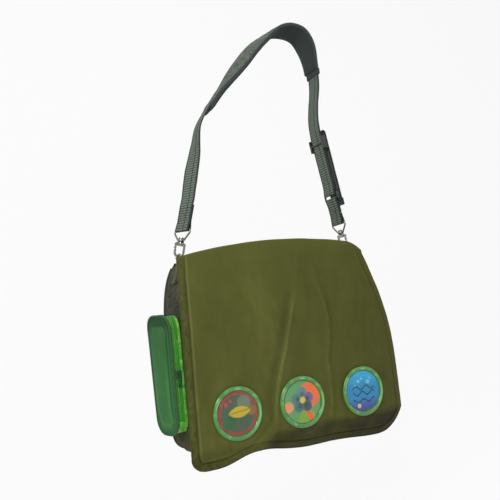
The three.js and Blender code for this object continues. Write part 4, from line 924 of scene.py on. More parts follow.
# Bag body
PANEL_THICK, GUSSET_THICK, PIPING_RADIUS = 2.2, 2.0, 1.9


def side_x(side, z):
    half, draw, depth = BODY_SIDES[side]
    return CENTRE_X + side * (half - draw * math.exp(z / depth) - corner_inset(z, PANEL_BOTTOM, BODY_CORNER))


def bulge(share, power=1.0):
    """0 at both ends and 1 in the middle, fuller for a power below 1."""
    return max(math.sin(min(max(share, 0), 1) * math.pi), 0) ** power


def front_y(x, z):
    """The front panel gives way wherever the flap's cloth lies deeper."""
    room = 3.8 + 1.2 * smooth(-z, 290, 328)
    return FLAP_Y + wrap_at(x) + FLAP_THICK + room - min(flap_relief(x, z), 0)


def back_y(x, z):
    across = (x - CENTRE_X) / 200
    full = max(1 - across**4, 0) * bulge((z - MOUTH_Z) / (PANEL_BOTTOM - MOUTH_Z), 0.7)
    return BACK_Y - 4 + 4.5 * full + 1.3 * ripple(x, 60, z, 48) * full


def side_line():
    """The seam line down the left side, round the bottom corners and up the right side."""
    levels = between(MOUTH_Z, PANEL_BOTTOM + BODY_CORNER, 60)[:-1]
    levels += [PANEL_BOTTOM + BODY_CORNER * (1 - math.sin(math.radians(a))) for a in range(0, 91, 9)]
    line = [(side_x(-1, z), z) for z in levels]
    line += [(x, PANEL_BOTTOM) for x in between(side_x(-1, PANEL_BOTTOM), side_x(1, PANEL_BOTTOM), 60)[1:-1]]
    return line + [(side_x(1, z), z) for z in reversed(levels)]


def inside(value, low, high, near, far):
    """1 between low and high, fading to 0 between the distances near and far outside them."""
    return smooth(value, low - far, low - near) * (1 - smooth(value, high + near, high + far))


def gusset_swell(x, y, z, share):
    """How far the gusset swells out, flat where a pocket or a ring's tab lies on it."""
    if z < PANEL_BOTTOM + 1:
        return bulge(share) * (2.2 + 0.9 * ripple(x, y, 9, 40))
    covered = (1 - smooth(abs(y - STRAP_Y), 12, 22)) * smooth(z, -86, -66)
    if x < CENTRE_X:
        by_pocket = inside(y, POCKET_NEAR, POCKET_FAR, 4, 14) * inside(z, POCKET_BOTTOM, POCKET_TOP, 4, 14)
        covered = max(covered, by_pocket)
    creases = 2.6 * ripple(y * 0.6 + z * 0.4, z * 1.7, 4, 15) + 1.4 * ripple(y, z * 0.5, 8, 30)
    return bulge(share) * (1 - covered) * (1.6 + creases)


def make_panel(name, depth_at, top, height, facing):
    """The front or back panel: its rows run down the sides, and closer together round the corners."""
    straight_share = 0.82

    def place(across, up):
        down = 1 - up
        turn = max(down - straight_share, 0) / (1 - straight_share) * math.pi / 2
        side = mix(top, PANEL_BOTTOM + BODY_CORNER, min(down / straight_share, 1))
        z = side - BODY_CORNER * math.sin(turn)
        x = mix(side_x(-1, z), side_x(1, z), across)
        return Vector((x, depth_at(x, z), z))

    cloth = thickened(grid_piece(96, 90, place, uv=(370, height)), PANEL_THICK, facing)
    dress(f"{name}_cloth", cloth, "bag", "body_nylon", (f"{name}_panel",))


def make_body():
    make_panel("front", front_y, MOUTH_Z, 315, -Y_AXIS)
    make_panel("back", back_y, BACK_TOP_Z, 325, Y_AXIS)

    line = side_line()
    flat = [Vector((x, 0, z)) for x, z in line]
    outward = [Vector((along.z, 0, -along.x)) for along in tangents(flat)]

    def side(across, up):
        index = round((1 - up) * (len(line) - 1))
        x, z = line[index]
        y = mix(front_y(x, z) + 0.4, back_y(x, z) - 0.4, across)
        return flat[index] + Y_AXIS * y + outward[index] * gusset_swell(x, y, z, across)

    strip = grid_piece(22, len(line) - 1, side, uv=(100, 960))
    thickened(strip, GUSSET_THICK, centre=Vector((CENTRE_X, 0, -120)))
    dress("side_cloth", strip, "bag", "gusset_fabric", ("left_gusset", "right_gusset", "bottom_gusset"))

    for name, depth_at, inward in (("front_piping", front_y, 1.2), ("back_piping", back_y, -1.2)):
        seam = [Vector((x, depth_at(x, z) + inward, z)) + out * 0.6 for (x, z), out in zip(line, outward)]
        dress(name, sweep(seam, disc(PIPING_RADIUS, 8), Y_AXIS), "bag", "body_binding")

    ends = []
    for x in (side_x(-1, MOUTH_Z), side_x(1, MOUTH_Z)):
        back, front = back_y(x, MOUTH_Z) - 2, front_y(x, MOUTH_Z) + 3
        ends.append(between(Vector((x, back, MOUTH_Z)), Vector((x, front, MOUTH_Z)), 10))
    across = between(ends[0][0].x + 2, ends[1][0].x - 2, 40)
    rim = ends[0] + [Vector((x, front_y(x, MOUTH_Z) + 1.1, MOUTH_Z)) for x in across] + ends[1][::-1]
    edging = sweep(rim, pillow(1.7, 1.5, 1.2), Z_AXIS)
    dress("mouth_binding", edging, "bag", "body_binding")


# Closure patches
PATCH_X, PATCH_Z, PATCH_HALF_WIDE, PATCH_HALF_HIGH = 60, -302, 40, 12.5


def make_patches():
    kinds = (
        ("hook", "flap_front", 1.2, Y_AXIS, lambda x, z: flap_point(x, z).y + 3.7),
        ("loop", "bag", 1.4, -Y_AXIS, lambda x, z: front_y(x, z) - 1.45),
    )
    for side, name in ((-1, "left"), (1, "right")):
        for kind, body, thickness, facing, depth_at in kinds:
            def place(across, up):
                x = side * PATCH_X + mix(-PATCH_HALF_WIDE, PATCH_HALF_WIDE, across)
                z = PATCH_Z + mix(-PATCH_HALF_HIGH, PATCH_HALF_HIGH, up)
                return Vector((x, depth_at(x, z), z))

            sheet = grid_piece(40, 14, place, uv=(2 * PATCH_HALF_WIDE, 2 * PATCH_HALF_HIGH))
            patch = thickened(sheet, thickness, facing)
            dress(f"{kind}_patch_{name}", patch, body, "closure_tape", (f"closure_{kind}_{name}",))


# Badges, with heights in front of the flap's cloth
STUD_RADIUS, STUD_END, RIM_BACK, RIM_SIDE, RIM_HIGH = 2.9, -4.1, 0.3, 2.6, 2.2
PRINT_BACK, PRINT_FRONT, DOME_BACK, DOME_HIGH = 1.5, 2.1, 2.35, 3.5
WASHER_BACK, WASHER_FRONT, WASHER_BORE, WASHER_RADIUS = -3.9, -2.7, 3.3, 9


def badge_profiles():
    """Each part of a badge with the profile that it is turned from."""
    crest, half = (BADGE_RADIUS + LENS_RADIUS + 0.9) / 2, (BADGE_RADIUS - LENS_RADIUS - 0.9) / 2
    rim = [(0, STUD_END), (STUD_RADIUS - 0.7, STUD_END), (STUD_RADIUS, STUD_END + 0.5)]
    rim += [(STUD_RADIUS, RIM_BACK), (BADGE_RADIUS - 1.4, RIM_BACK), (BADGE_RADIUS, RIM_BACK + 0.9)]
    for angle in map(math.radians, range(0, 181, 15)):
        rim.append((crest + half * math.cos(angle), RIM_SIDE + RIM_HIGH * math.sin(angle)))
    rim += [(LENS_RADIUS + 0.7, 1.4), (0, 1.3)]
    picture = [(0, PRINT_BACK), (LENS_RADIUS - 0.2, PRINT_BACK), (LENS_RADIUS, PRINT_BACK + 0.2)]
    picture += [(LENS_RADIUS, PRINT_FRONT - 0.2), (LENS_RADIUS - 0.2, PRINT_FRONT), (0, PRINT_FRONT)]
    shoulder = DOME_BACK + 0.9
    dome = [(0, DOME_BACK), (LENS_RADIUS - 0.4, DOME_BACK), (LENS_RADIUS, DOME_BACK + 0.4)]
    for angle in map(math.radians, range(0, 90, 9)):
        dome.append((LENS_RADIUS * math.cos(angle), shoulder + DOME_HIGH * math.sin(angle)))
    dome.append((0, shoulder + DOME_HIGH))
    washer = [(WASHER_BORE, WASHER_BACK), (WASHER_RADIUS - 0.4, WASHER_BACK)]
    washer += [(WASHER_RADIUS, WASHER_BACK + 0.4), (WASHER_RADIUS, WASHER_FRONT - 0.3)]
    washer += [(WASHER_RADIUS - 0.4, WASHER_FRONT), (WASHER_BORE, WASHER_FRONT), (WASHER_BORE, WASHER_BACK)]
    seen = ("rim", "base", rim), ("picture", "print", picture), ("dome", "dome", dome)
    return *seen, ("washer", "washer", washer)


def badge_matrix(x):
    slope = 2 * WRAP_DEPTH * max(x - WRAP_X, 0) / WRAP_RUN**2
    place = Matrix.Translation(Vector((x, FLAP_Y + wrap_at(x), BADGE_Z)))
    return place @ Matrix.Rotation(math.atan(slope), 4, "Z") @ Matrix.Rotation(math.pi / 2, 4, "X")


def make_badges():
    for x, name in zip(BADGE_XS, ("left", "middle", "right")):
        for part, node, profile in badge_profiles():
            shape = spun(profile, 72)
            layer = shape.loops.layers.uv.new("cloth")
            for face in shape.faces:
                for loop in face.loops:
                    loop[layer].uv = loop.vert.co.xy
            bmesh.ops.transform(shape, matrix=badge_matrix(x), verts=shape.verts)
            finish = f"{name}_print" if node == "print" else f"badge_{part}"
            nodes = (f"{name}_badge_{node}",)
            dress(f"{name}_badge_{part}_piece", shape, "flap_front", finish, nodes, sharp=40)


# Side pocket, its loop of points across and up the gusset with their outward directions
POCKET_LINE = [
    (POCKET_NEAR, POCKET_BOTTOM), (POCKET_NEAR, POCKET_TOP), (POCKET_FAR, POCKET_TOP),
    (POCKET_FAR - POCKET_TAPER, POCKET_BOTTOM),
]
TAPE_ROOT_X, TAPE_FRONT_X, TAPE_WIDE = ZIP_ROOT_X + 0.1, ZIP_FRONT_X - 0.1, 4.5
TEETH_PITCH, TOOTH = 1.6, (1.35, 0.55, 0.62, 1)
POCKET_MIDDLE = Vector((-210, -5, -193))


def rounded(corners, radius, steps):
    """Corner points of a convex loop rounded off, as (point, outward) pairs in two dimensions."""
    loop = []
    for i, corner in enumerate(corners):
        corner = Vector(corner)
        before = (Vector(corners[i - 1]) - corner).normalized()
        after = (Vector(corners[(i + 1) % len(corners)]) - corner).normalized()
        half = before.angle(after) / 2
        centre = corner + (before + after).normalized() * (radius / math.sin(half))
        start = corner + before * (radius / math.tan(half)) - centre
        finish = corner + after * (radius / math.tan(half)) - centre
        whole = start.angle(finish)
        for share in between(0, 1, steps):
            arm = (start * math.sin((1 - share) * whole) + finish * math.sin(share * whole)) / math.sin(whole)
            loop.append((centre + arm, arm.normalized()))
    return loop


def dense(loop, spacing):
    """The loop with points no further apart than the spacing."""
    result = []
    for (point, out), (following, next_out) in zip(loop, loop[1:] + loop[:1]):
        steps = max(1, round((following - point).length / spacing))
        for share in between(0, 1, steps)[:-1]:
            result.append((point.lerp(following, share), out.lerp(next_out, share).normalized()))
    return result


pocket_loop = dense(rounded(POCKET_LINE, POCKET_CORNER, 10), 2.6)
pocket_count = len(pocket_loop)
pocket_lengths = lengths_along([point for point, _ in pocket_loop + pocket_loop[:1]])


def pocket_runs():
    """The loop's points under the pocket, and those along its zipper, which runs round the rest."""
    low = [i for i, (point, _) in enumerate(pocket_loop) if point.y < POCKET_BOTTOM + POCKET_CORNER - 1]
    start = next(i for i in low if (i - 1) % pocket_count not in low)
    under = [(start + i) % pocket_count for i in range(len(low))]
    return under, [i % pocket_count for i in range(under[-1], under[0] + pocket_count + 1)]


def on_pocket(index, x, out):
    point, outward = pocket_loop[index % pocket_count]
    return Vector((x, point.x + outward.x * out, point.y + outward.y * out))


def lean_at(y):
    """How far the pocket's front leans, its near side closer to the gusset than its far side."""
    return mix(POCKET_NEAR_LEAN, POCKET_FAR_LEAN, (y - POCKET_NEAR) / (POCKET_FAR - POCKET_NEAR))


def pocket_band(x_near, x_far, steps, pucker, leans):
    """A gathered strip of the pocket's side from x_near to x_far, all round."""
    def place(around, across):
        index = round(around * pocket_count) % pocket_count
        lean = lean_at(pocket_loop[index][0].x) if leans else 0
        x, here = mix(x_near, x_far + lean, across), pocket_lengths[index]
        gathers = ripple(here, x * 0.5, 3, 5.5) + 0.7 * ripple(here * 2.1, x * 0.6, 7, 5)
        return on_pocket(index, x, bulge(across, 0.6) * pucker * (0.6 + gathers))

    size = (pocket_lengths[-1], x_near - x_far)
    band = grid_piece(pocket_count, steps, place, uv=size, wrap=True, capped=False)
    return thickened(band, 1.2, centre=POCKET_MIDDLE)


def make_pocket_sides(under):
    def bridge(across, along):
        index = under[round(along * (len(under) - 1))]
        out = 0.5 * bulge(across) * (0.4 + ripple(pocket_lengths[index], across * 5, 2, 6))
        return on_pocket(index, mix(TAPE_ROOT_X, TAPE_FRONT_X, across), out)

    # Painted highlight along the pocket's near side, with random mottling.
    def near_highlight_and_mottle(point):
        near = 0.32 * (1 - smooth(point.y, POCKET_NEAR - 2, POCKET_NEAR + 14))
        return 0.54 + near + 0.3 * ripple(point.x, point.y, point.z, 7)

    inner = pocket_band(POCKET_ROOT_X, ZIP_ROOT_X, 4, 0.5, False)
    below = grid_piece(8, len(under) - 1, bridge, uv=(10, 120))
    added(inner, thickened(below, 1.0, centre=POCKET_MIDDLE))
    keep_shade_and_mottle(inner, lambda point: 0.5 + 0.3 * ripple(point.y, point.z, 3, 8))
    dress("pocket_inner_side", inner, "bag", "pocket_satin", ("pocket_inner_gusset", "pocket_back_panel"))
    outer = pocket_band(ZIP_FRONT_X, POCKET_FRONT_X, 12, 1.1, True)
    keep_shade_and_mottle(outer, near_highlight_and_mottle)
    dress("pocket_outer_side", outer, "bag", "pocket_satin", ("pocket_outer_gusset",))


def zipper_teeth(run, indices, spare, slant):
    """Teeth at an even pitch along a run of the pocket's loop, the first one spare millimetres in."""
    teeth = bmesh.new()
    for a, b, index in zip(run, run[1:], indices):
        step, along = (b - a).length, (b - a).normalized()
        out = Vector((0, *pocket_loop[index][1]))
        turn = Matrix((X_AXIS, along, out)).transposed().to_4x4() @ Matrix.Rotation(slant, 4, "Z")
        while spare < step:
            place = Matrix.Translation(a + along * spare) @ turn @ Matrix.Diagonal(TOOTH)
            bmesh.ops.create_icosphere(teeth, subdivisions=1, radius=1, matrix=place)
            spare += TEETH_PITCH
        spare -= step
    return teeth


def make_zipper(upper):
    for name, x_from, x_to in (
        ("inner", TAPE_ROOT_X, TAPE_ROOT_X - TAPE_WIDE), ("outer", TAPE_FRONT_X + TAPE_WIDE, TAPE_FRONT_X),
    ):
        def place(across, along):
            index = upper[round(along * (len(upper) - 1))]
            out = -0.35 + 0.3 * ripple(pocket_lengths[index], across * 3, 1, 7)
            return on_pocket(index, mix(x_from, x_to, across), out)

        sheet = grid_piece(3, len(upper) - 1, place, uv=(TAPE_WIDE, pocket_lengths[-1]))
        tape, nodes = thickened(sheet, 0.5, centre=POCKET_MIDDLE), (f"zipper_{name}_tape",)
        dress(f"zipper_{name}_tape_piece", tape, "bag", "zipper_tape", nodes)
    teeth_in = TAPE_WIDE - 0.5
    for name, x_tooth, spare, slant in (
        ("inner", TAPE_ROOT_X - teeth_in, 1.0, 0.25), ("outer", TAPE_FRONT_X + teeth_in, 1.8, -0.25),
    ):
        teeth = zipper_teeth([on_pocket(i, x_tooth, 0) for i in upper], upper, spare, slant)
        dress(f"zipper_{name}_teeth", teeth, "bag", "zipper_coil", (f"zipper_{name}_coil",), sharp=180)


def ear(point):
    """1 at the pocket's far top corner, where its front stands up, fading away from it."""
    return bell((point - Vector((POCKET_FAR, POCKET_TOP))).length, 15)


def border_width(z):
    return 8 + 7 * smooth(z, POCKET_TOP - 30, POCKET_TOP - 8)


def pocket_front_place(around, along):
    heart = Vector(((POCKET_NEAR + POCKET_FAR) / 2 - 2, (POCKET_TOP + POCKET_BOTTOM) / 2))
    point, outward = pocket_loop[round(around * pocket_count) % pocket_count]
    y, z = heart.lerp(point + outward * (1.2 + 5.0 * ear(point)), 1 - along)
    groove = 0.9 * bell(along * 40 - border_width(z), 1.6)
    wave = 0.7 * ripple(y, z, 2, 26) + 0.35 * ripple(y, z, 5, 9)
    full = 5.2 * (1 - (1 - along) ** 2) ** 0.8
    swell = full * (0.55 + 0.45 * smooth(along, 0.02, 0.3)) + wave * along - groove
    return Vector((POCKET_FRONT_X - 0.4 - swell + lean_at(y), y, z))


def pocket_front_uv(around, along):
    place = pocket_front_place(around, along)
    return place.y - POCKET_NEAR, place.z - POCKET_BOTTOM


def pocket_front_shading(point):
    """Painted shade on the border and in the groove along it, painted highlights on the cloth beside the
    groove, and darker towards the top.
    """
    place, reach = point.yz, 60
    inward = min((edge - place).dot(out) for edge, out in pocket_loop if (place - edge).length < reach)
    border = border_width(point.z)
    high = smooth(point.z, POCKET_TOP - 30, POCKET_TOP - 10)
    sunk = (0.1 + 0.26 * high) * (1 - smooth(inward, border - 1.2, border + 1.2))
    sunk += bells(inward, [(0.34, border, 1.2), (0.24, 1, 1.6)])
    raised = 0.14 * bell(inward - border + 3.2, 1.4)
    raised += 0.14 * bell(inward - border - 5, 4) * smooth(-point.z, 150, 230)
    return 0.5 - sunk + raised - 0.1 * smooth(point.z, -210, -130)


def make_pocket():
    under, upper = pocket_runs()
    make_pocket_sides(under)
    make_zipper(upper)
    plate = grid_piece(pocket_count, 26, pocket_front_place, uv=pocket_front_uv, wrap=True, capped=False)
    keep_shade_and_mottle(thickened(plate, 1.4, -X_AXIS), pocket_front_shading)
    dress("pocket_front_cloth", plate, "bag", "pocket_fabric", ("pocket_front_panel",))
    outline = []
    for point, outward in pocket_loop:
        y, z = point + outward * (2.2 + 6.5 * ear(point))
        outline.append(Vector((POCKET_FRONT_X + 0.2 + lean_at(y), y, z)))
    piping = sweep(outline, pillow(2.0, 1.6, 1.1), X_AXIS, closed=True)
    dress("pocket_edge_binding", piping, "bag", "pocket_binding", ("pocket_front_binding",))
    for name in ("zipper_slider", "zipper_pull"):
        polish(name, "zipper_metal", 0.3)


# Strap rings and their tabs
TAB_HALF, TAB_END, TAB_FLAT, RING_CORNER_RISE = 9.5, -36, -7, 0.9


def bar_point(side, z):
    return Vector((LEFT_BAR_X if side < 0 else RIGHT_BAR_X, STRAP_Y, z))


def tab_frame(side):
    """A frame on one ring's bar: a is out from the gusset and b up along it."""
    _, draw, depth = BODY_SIDES[side]
    tab_middle = -27
    tilt = math.atan(draw / depth * math.exp(tab_middle / depth))
    up = Vector((-side * math.sin(tilt), 0, math.cos(tilt)))
    out = Vector((side * math.cos(tilt), 0, math.sin(tilt)))
    bar = bar_point(side, BAR_Z)
    return lambda a, b: bar + out * a + up * b


def direction(at, *step):
    """The direction that a frame's step points in."""
    return (at(*step) - at(0, 0)).normalized()


def fold(at, centre, radius, start, end, steps=14):
    """Points round a bar, the angles in degrees from out towards up."""
    arms = [on_circle(radius, angle) for angle in between(start, end, steps)]
    return [at(centre[0] + a, centre[1] + b) for a, b in arms]


def rounded_path(points, spacing=3):
    """An open path with points no further apart than the spacing, its corners eased."""
    eased = [points[0]]
    for before, point, after in zip(points, points[1:], points[2:]):
        reach = min(2.5, (before - point).length / 3, (after - point).length / 3)
        near = point + (before - point).normalized() * reach
        far = point + (after - point).normalized() * reach
        eased += [near, point * 0.5 + (near + far) * 0.25, far]
    eased.append(points[-1])
    result = []
    for a, b in zip(eased, eased[1:]):
        steps = max(1, math.ceil((b - a).length / spacing))
        result += [a.lerp(b, i / steps) for i in range(steps)]
    return result + [eased[-1]]


def ribbon(path, half, across_at=None, wave=0.0, seed=0.0):
    """Webbing laid along a path, its width along Y or along across_at(index, direction)."""
    along, travelled = tangents(path), lengths_along(path)
    face = [(half * share, WEB_THICK / 2) for share in (0.5, 0, -0.5)]
    corners = pillow(half, WEB_THICK / 2, WEB_THICK * 0.42)
    outline = corners[:4] + face + corners[4:12] + [(-a, -b) for a, b in face] + corners[12:]
    sides, last = len(outline), len(path) - 1

    def place(around, share):
        index = round(share * last)
        a, b = outline[round(around * sides) % sides]
        across = across_at(index, along[index]) if across_at else Y_AXIS
        outward = along[index].cross(across).normalized()
        return path[index] + across * a + outward * (b + wave * ripple(travelled[index], a * 0.6, seed, 18))

    def uv(around, share):
        return outline[round(around * sides) % sides][0] + half, travelled[round(share * last)]

    return grid_piece(sides, last, place, uv=uv, wrap=True)


def make_rings():
    for side, name in ((-1, "left"), (1, "right")):
        at, middle, bar = tab_frame(side), bar_point(side, RING_Z), bar_point(side, BAR_Z)
        ring = [middle + Vector((0, *on_circle(RING_RADIUS, angle))) for angle in range(0, 181, 9)]
        foot = between(bar - Y_AXIS * RING_RADIUS, bar + Y_AXIS * RING_RADIUS, 12)
        for corner in (foot[0], foot[-1]):
            corner.z += RING_CORNER_RISE
        wire = sweep(ring + foot, disc(RING_WIRE), X_AXIS, closed=True)
        dress(f"{name}_ring", wire, "bag", "hardware_metal", (f"{name}_d_ring",))
        path = rounded_path([at(-PLY_HALF, TAB_END), at(-PLY_HALF, TAB_FLAT)], 2)
        path += fold(at, (0, 0), RING_WIRE + WEB_PLAY + WEB_THICK / 2, 180, 0)
        path += rounded_path([at(PLY_HALF, TAB_FLAT), at(PLY_HALF, TAB_END)], 2)
        tab, nodes = ribbon(path, TAB_HALF), (f"{name}_ring_tab",)
        dress(f"{name}_tab", tab, "bag", "ring_tape", nodes)
        face, out = PLY_HALF + WEB_THICK / 2 + 0.1, direction(at, 1, 0)
        run = [(at(face, b) + Y_AXIS * a, out) for a, b in crossed_box(TAB_HALF - 2.5, -12, TAB_END + 3)]
        stitched(f"{name}_tab_stitches", [run], "bag", "grey_thread")


# Strap
def leg(side, tilt, turn=0.0):
    """A frame on one strap leg: a is out from the strap's loop, b along the leg and c across it."""
    tilt = math.radians(tilt)
    up = Vector((-side * math.sin(tilt), 0, math.cos(tilt)))
    about = Matrix.Rotation(turn, 3, up)
    out, across = about @ Vector((side * math.cos(tilt), 0, math.sin(tilt))), about @ Y_AXIS
    origin = bar_point(side, RING_Z + RING_RADIUS)
    return lambda a, b, c=0.0: origin + out * a + up * b + across * c


front_leg, rear_leg = leg(-1, FRONT_TILT), leg(1, REAR_TILT)
turned_leg = leg(-1, FRONT_TILT, math.radians(EYE_TURN))


def eased_step(a, b, c, d, steps):
    """Points from b towards c on the smooth curve through four knots, its knots spaced by root length."""
    spans = [max((q - p).length ** 0.5, 0.001) for p, q in ((a, b), (b, c), (c, d))]
    first = ((b - a) / spans[0] - (c - a) / (spans[0] + spans[1]) + (c - b) / spans[1]) * spans[1]
    last = ((c - b) / spans[1] - (d - b) / (spans[1] + spans[2]) + (d - c) / spans[2]) * spans[1]
    points = []
    for t in between(0, 1, steps)[:-1]:
        near = b * (2 * t**3 - 3 * t**2 + 1) + first * (t**3 - 2 * t**2 + t)
        points.append(near + c * (3 * t**2 - 2 * t**3) + last * (t**3 - t**2))
    return points


def strap_route(spacing=3.0):
    """The strap's line over the shoulder, as evenly spaced points."""
    lowest = rear_leg(0, STRAIGHT_TOP + 16).z
    shaped = [Vector((x * STRAP_SPAN, STRAP_Y, z * STRAP_RISE)) for x, z in ROUTE_SHARES]
    knots = [front_leg(PLY_HALF, EYE_BAR + PLY_FLARE), front_leg(PLY_HALF, EYE_BAR + DOUBLE_PLY)]
    knots += [point for point in shaped if point.x < 0 or point.z > lowest]
    knots += [rear_leg(-PLY_HALF, STRAIGHT_TOP), rear_leg(-PLY_HALF, STRAIGHT_TOP - PLY_FLARE)]
    knots = [knots[0] * 2 - knots[1]] + knots + [knots[-1] * 2 - knots[-2]]
    fine = []
    for four in zip(knots, knots[1:], knots[2:], knots[3:]):
        fine += eased_step(*four, 24)
    fine.append(knots[-2])
    travelled = lengths_along(fine)
    even, index = [], 0
    for want in between(0, travelled[-1], round(travelled[-1] / spacing)):
        while index < len(fine) - 2 and travelled[index + 1] < want:
            index += 1
        share = (want - travelled[index]) / (travelled[index + 1] - travelled[index])
        even.append(fine[index].lerp(fine[index + 1], share))
    return even, travelled[-1]


route, route_length = strap_route()
route_step = route_length / (len(route) - 1)


def stretch(start, end):
    """The route from one length along it to another."""
    return [p.copy() for i, p in enumerate(route) if start - 0.1 <= i * route_step <= end + 0.1]


def strap_turn(length):
    """How far the strap's width is turned about its own line, at a length along the route."""
    top = DOUBLE_PLY + LEG_TURN_RISE
    on_leg = mix(EYE_TURN, LEG_TURN, smooth(length, DOUBLE_PLY, top))
    on_leg *= 1 - smooth(length, top + LEG_TURN_HELD, top + LEG_TURN_HELD + LEG_TURN_FALL)
    fade = PAD_TURN_START + PAD_TURN_RISE + PAD_TURN_HELD
    on_pad = smooth(length, PAD_TURN_START, PAD_TURN_START + PAD_TURN_RISE)
    return math.radians(on_leg + PAD_TURN * (on_pad - smooth(length, fade, fade + PAD_TURN_FALL)))


def turned_width(length, along):
    return Matrix.Rotation(strap_turn(length), 3, along) @ Y_AXIS


def make_front_strap():
    """Folded round the eye and sewn on the turned leg, then up the route to the pad."""
    upper = stretch(0, PAD_START + PAD_TUCK)
    for i, point in enumerate(upper):
        turned = leg(-1, FRONT_TILT, strap_turn(i * route_step))
        upper[i] = point + turned(PLY_HALF, 0) - front_leg(PLY_HALF, 0)
    wrap, flare = EYE_WIRE + WEB_PLAY + WEB_THICK / 2, EYE_BAR + PLY_FLARE
    path = rounded_path([turned_leg(-PLY_HALF, EYE_BAR + DOUBLE_PLY), turned_leg(-PLY_HALF, flare)])
    path += rounded_path([turned_leg(-PLY_HALF, flare), turned_leg(-wrap, EYE_BAR)])[1:-1]
    path += fold(turned_leg, (0, EYE_BAR), wrap, 180, 360)
    path += rounded_path([turned_leg(wrap, EYE_BAR), upper[0]])[1:-1] + upper
    lower, side_on = len(path) - len(upper), direction(turned_leg, 0, 0, 1)

    def across_at(index, along):
        return side_on if index < lower else turned_width((index - lower) * route_step, along)

    front = ribbon(path, WEB_HALF, across_at=across_at, wave=0.35)
    dress("front_strap", front, "strap", "strap_webbing", ("front_webbing",))


def make_rear_strap():
    """Down from the pad, round the square ring, back up, and out as the hemmed tail."""
    bar, wrap = SQUARE_RING + SQUARE_HALF, SQUARE_WIRE + WEB_PLAY + WEB_THICK / 2
    tail_middle, hem_out = (TAIL_OUT + PLY_HALF) / 2, TAIL_OUT + 2 * PLY_HALF
    path = stretch(PAD_START + PAD_LENGTH - PAD_TUCK, route_length)
    path += rounded_path([path[-1], rear_leg(-PLY_HALF, bar + PLY_FLARE), rear_leg(-wrap, bar)])[1:-1]
    path += fold(rear_leg, (0, bar), wrap, 180, 360)
    path += rounded_path([
        rear_leg(wrap, bar), rear_leg(PLY_HALF, bar + PLY_FLARE), rear_leg(PLY_HALF, TAIL_FOLD),
    ])[1:-1]
    path += fold(rear_leg, (tail_middle, TAIL_FOLD), TAIL_OUT - tail_middle, 180, 0)
    path += rounded_path([rear_leg(TAIL_OUT, TAIL_FOLD), rear_leg(TAIL_OUT, TAIL_END)])[1:-1]
    path += fold(rear_leg, (TAIL_OUT + PLY_HALF, TAIL_END), PLY_HALF, 180, 360, 6)
    path += rounded_path([rear_leg(hem_out, TAIL_END + 1), rear_leg(hem_out, TAIL_END + TAIL_HEM)])
    rear = ribbon(path, WEB_HALF, wave=0.25, seed=5)
    dress("rear_strap", rear, "strap", "strap_webbing", ("rear_webbing",))
    face, out = hem_out + WEB_THICK / 2 + 0.1, direction(rear_leg, 1, 0)
    return [(rear_leg(face, TAIL_END + TAIL_HEM - 4) + Y_AXIS * a, out) for a in (2 - WEB_HALF, WEB_HALF - 2)]


def make_hook_strap():
    """A closed loop round the square ring and the rear hook's eye, its ends sewn between them."""
    bar, eye_wrap = SQUARE_RING - SQUARE_HALF, EYE_WIRE + WEB_PLAY + WEB_THICK / 2
    wrap = SQUARE_WIRE + WEB_PLAY + WEB_THICK / 2
    meet = mix(EYE_BAR, bar, 0.4)
    high, low, at = bar - PLY_FLARE, EYE_BAR + PLY_FLARE, rear_leg
    path = rounded_path([at(PLY_HALF, meet + 0.5), at(PLY_HALF, high), at(wrap, bar)])[:-1]
    path += fold(at, (0, bar), wrap, 0, 180)
    inner = [at(-wrap, bar), at(-PLY_HALF, high), at(-PLY_HALF, low), at(-eye_wrap, EYE_BAR)]
    path += rounded_path(inner)[1:-1] + fold(at, (0, EYE_BAR), eye_wrap, 180, 360)
    path += rounded_path([at(eye_wrap, EYE_BAR), at(PLY_HALF, low), at(PLY_HALF, meet - 0.5)])[1:]
    dress("hook_strap", ribbon(path, WEB_HALF, seed=9), "strap", "strap_webbing", ("hook_webbing",))


def make_webbing():
    make_front_strap()
    hem = make_rear_strap()
    make_hook_strap()
    low, front_high, rear_high = EYE_BAR + 12, EYE_BAR + DOUBLE_PLY - 4, SQUARE_RING - 20
    for name, at, high in (("front", turned_leg, front_high), ("rear", rear_leg, rear_high)):
        runs = []
        for side in (1, -1):
            face = side * (PLY_HALF + WEB_THICK / 2 + 0.15)
            box = crossed_box(WEB_HALF - 4, low, high)
            runs.append([(at(face, b, a), direction(at, side, 0)) for a, b in box])
        stitched(f"{name}_strap_stitches", runs, "strap", "grey_thread")
    stitched("tail_stitches", [hem], "strap", "grey_thread")


def leg_ring(at, corners, corner_radius, wire):
    """A ring of wire on a strap leg, its corners given across and along the leg."""
    points = [at(0, p.y, p.x) for p, _ in dense(rounded(corners, corner_radius, 5), 3)]
    return sweep(points, disc(wire), direction(at, 1, 0), closed=True)


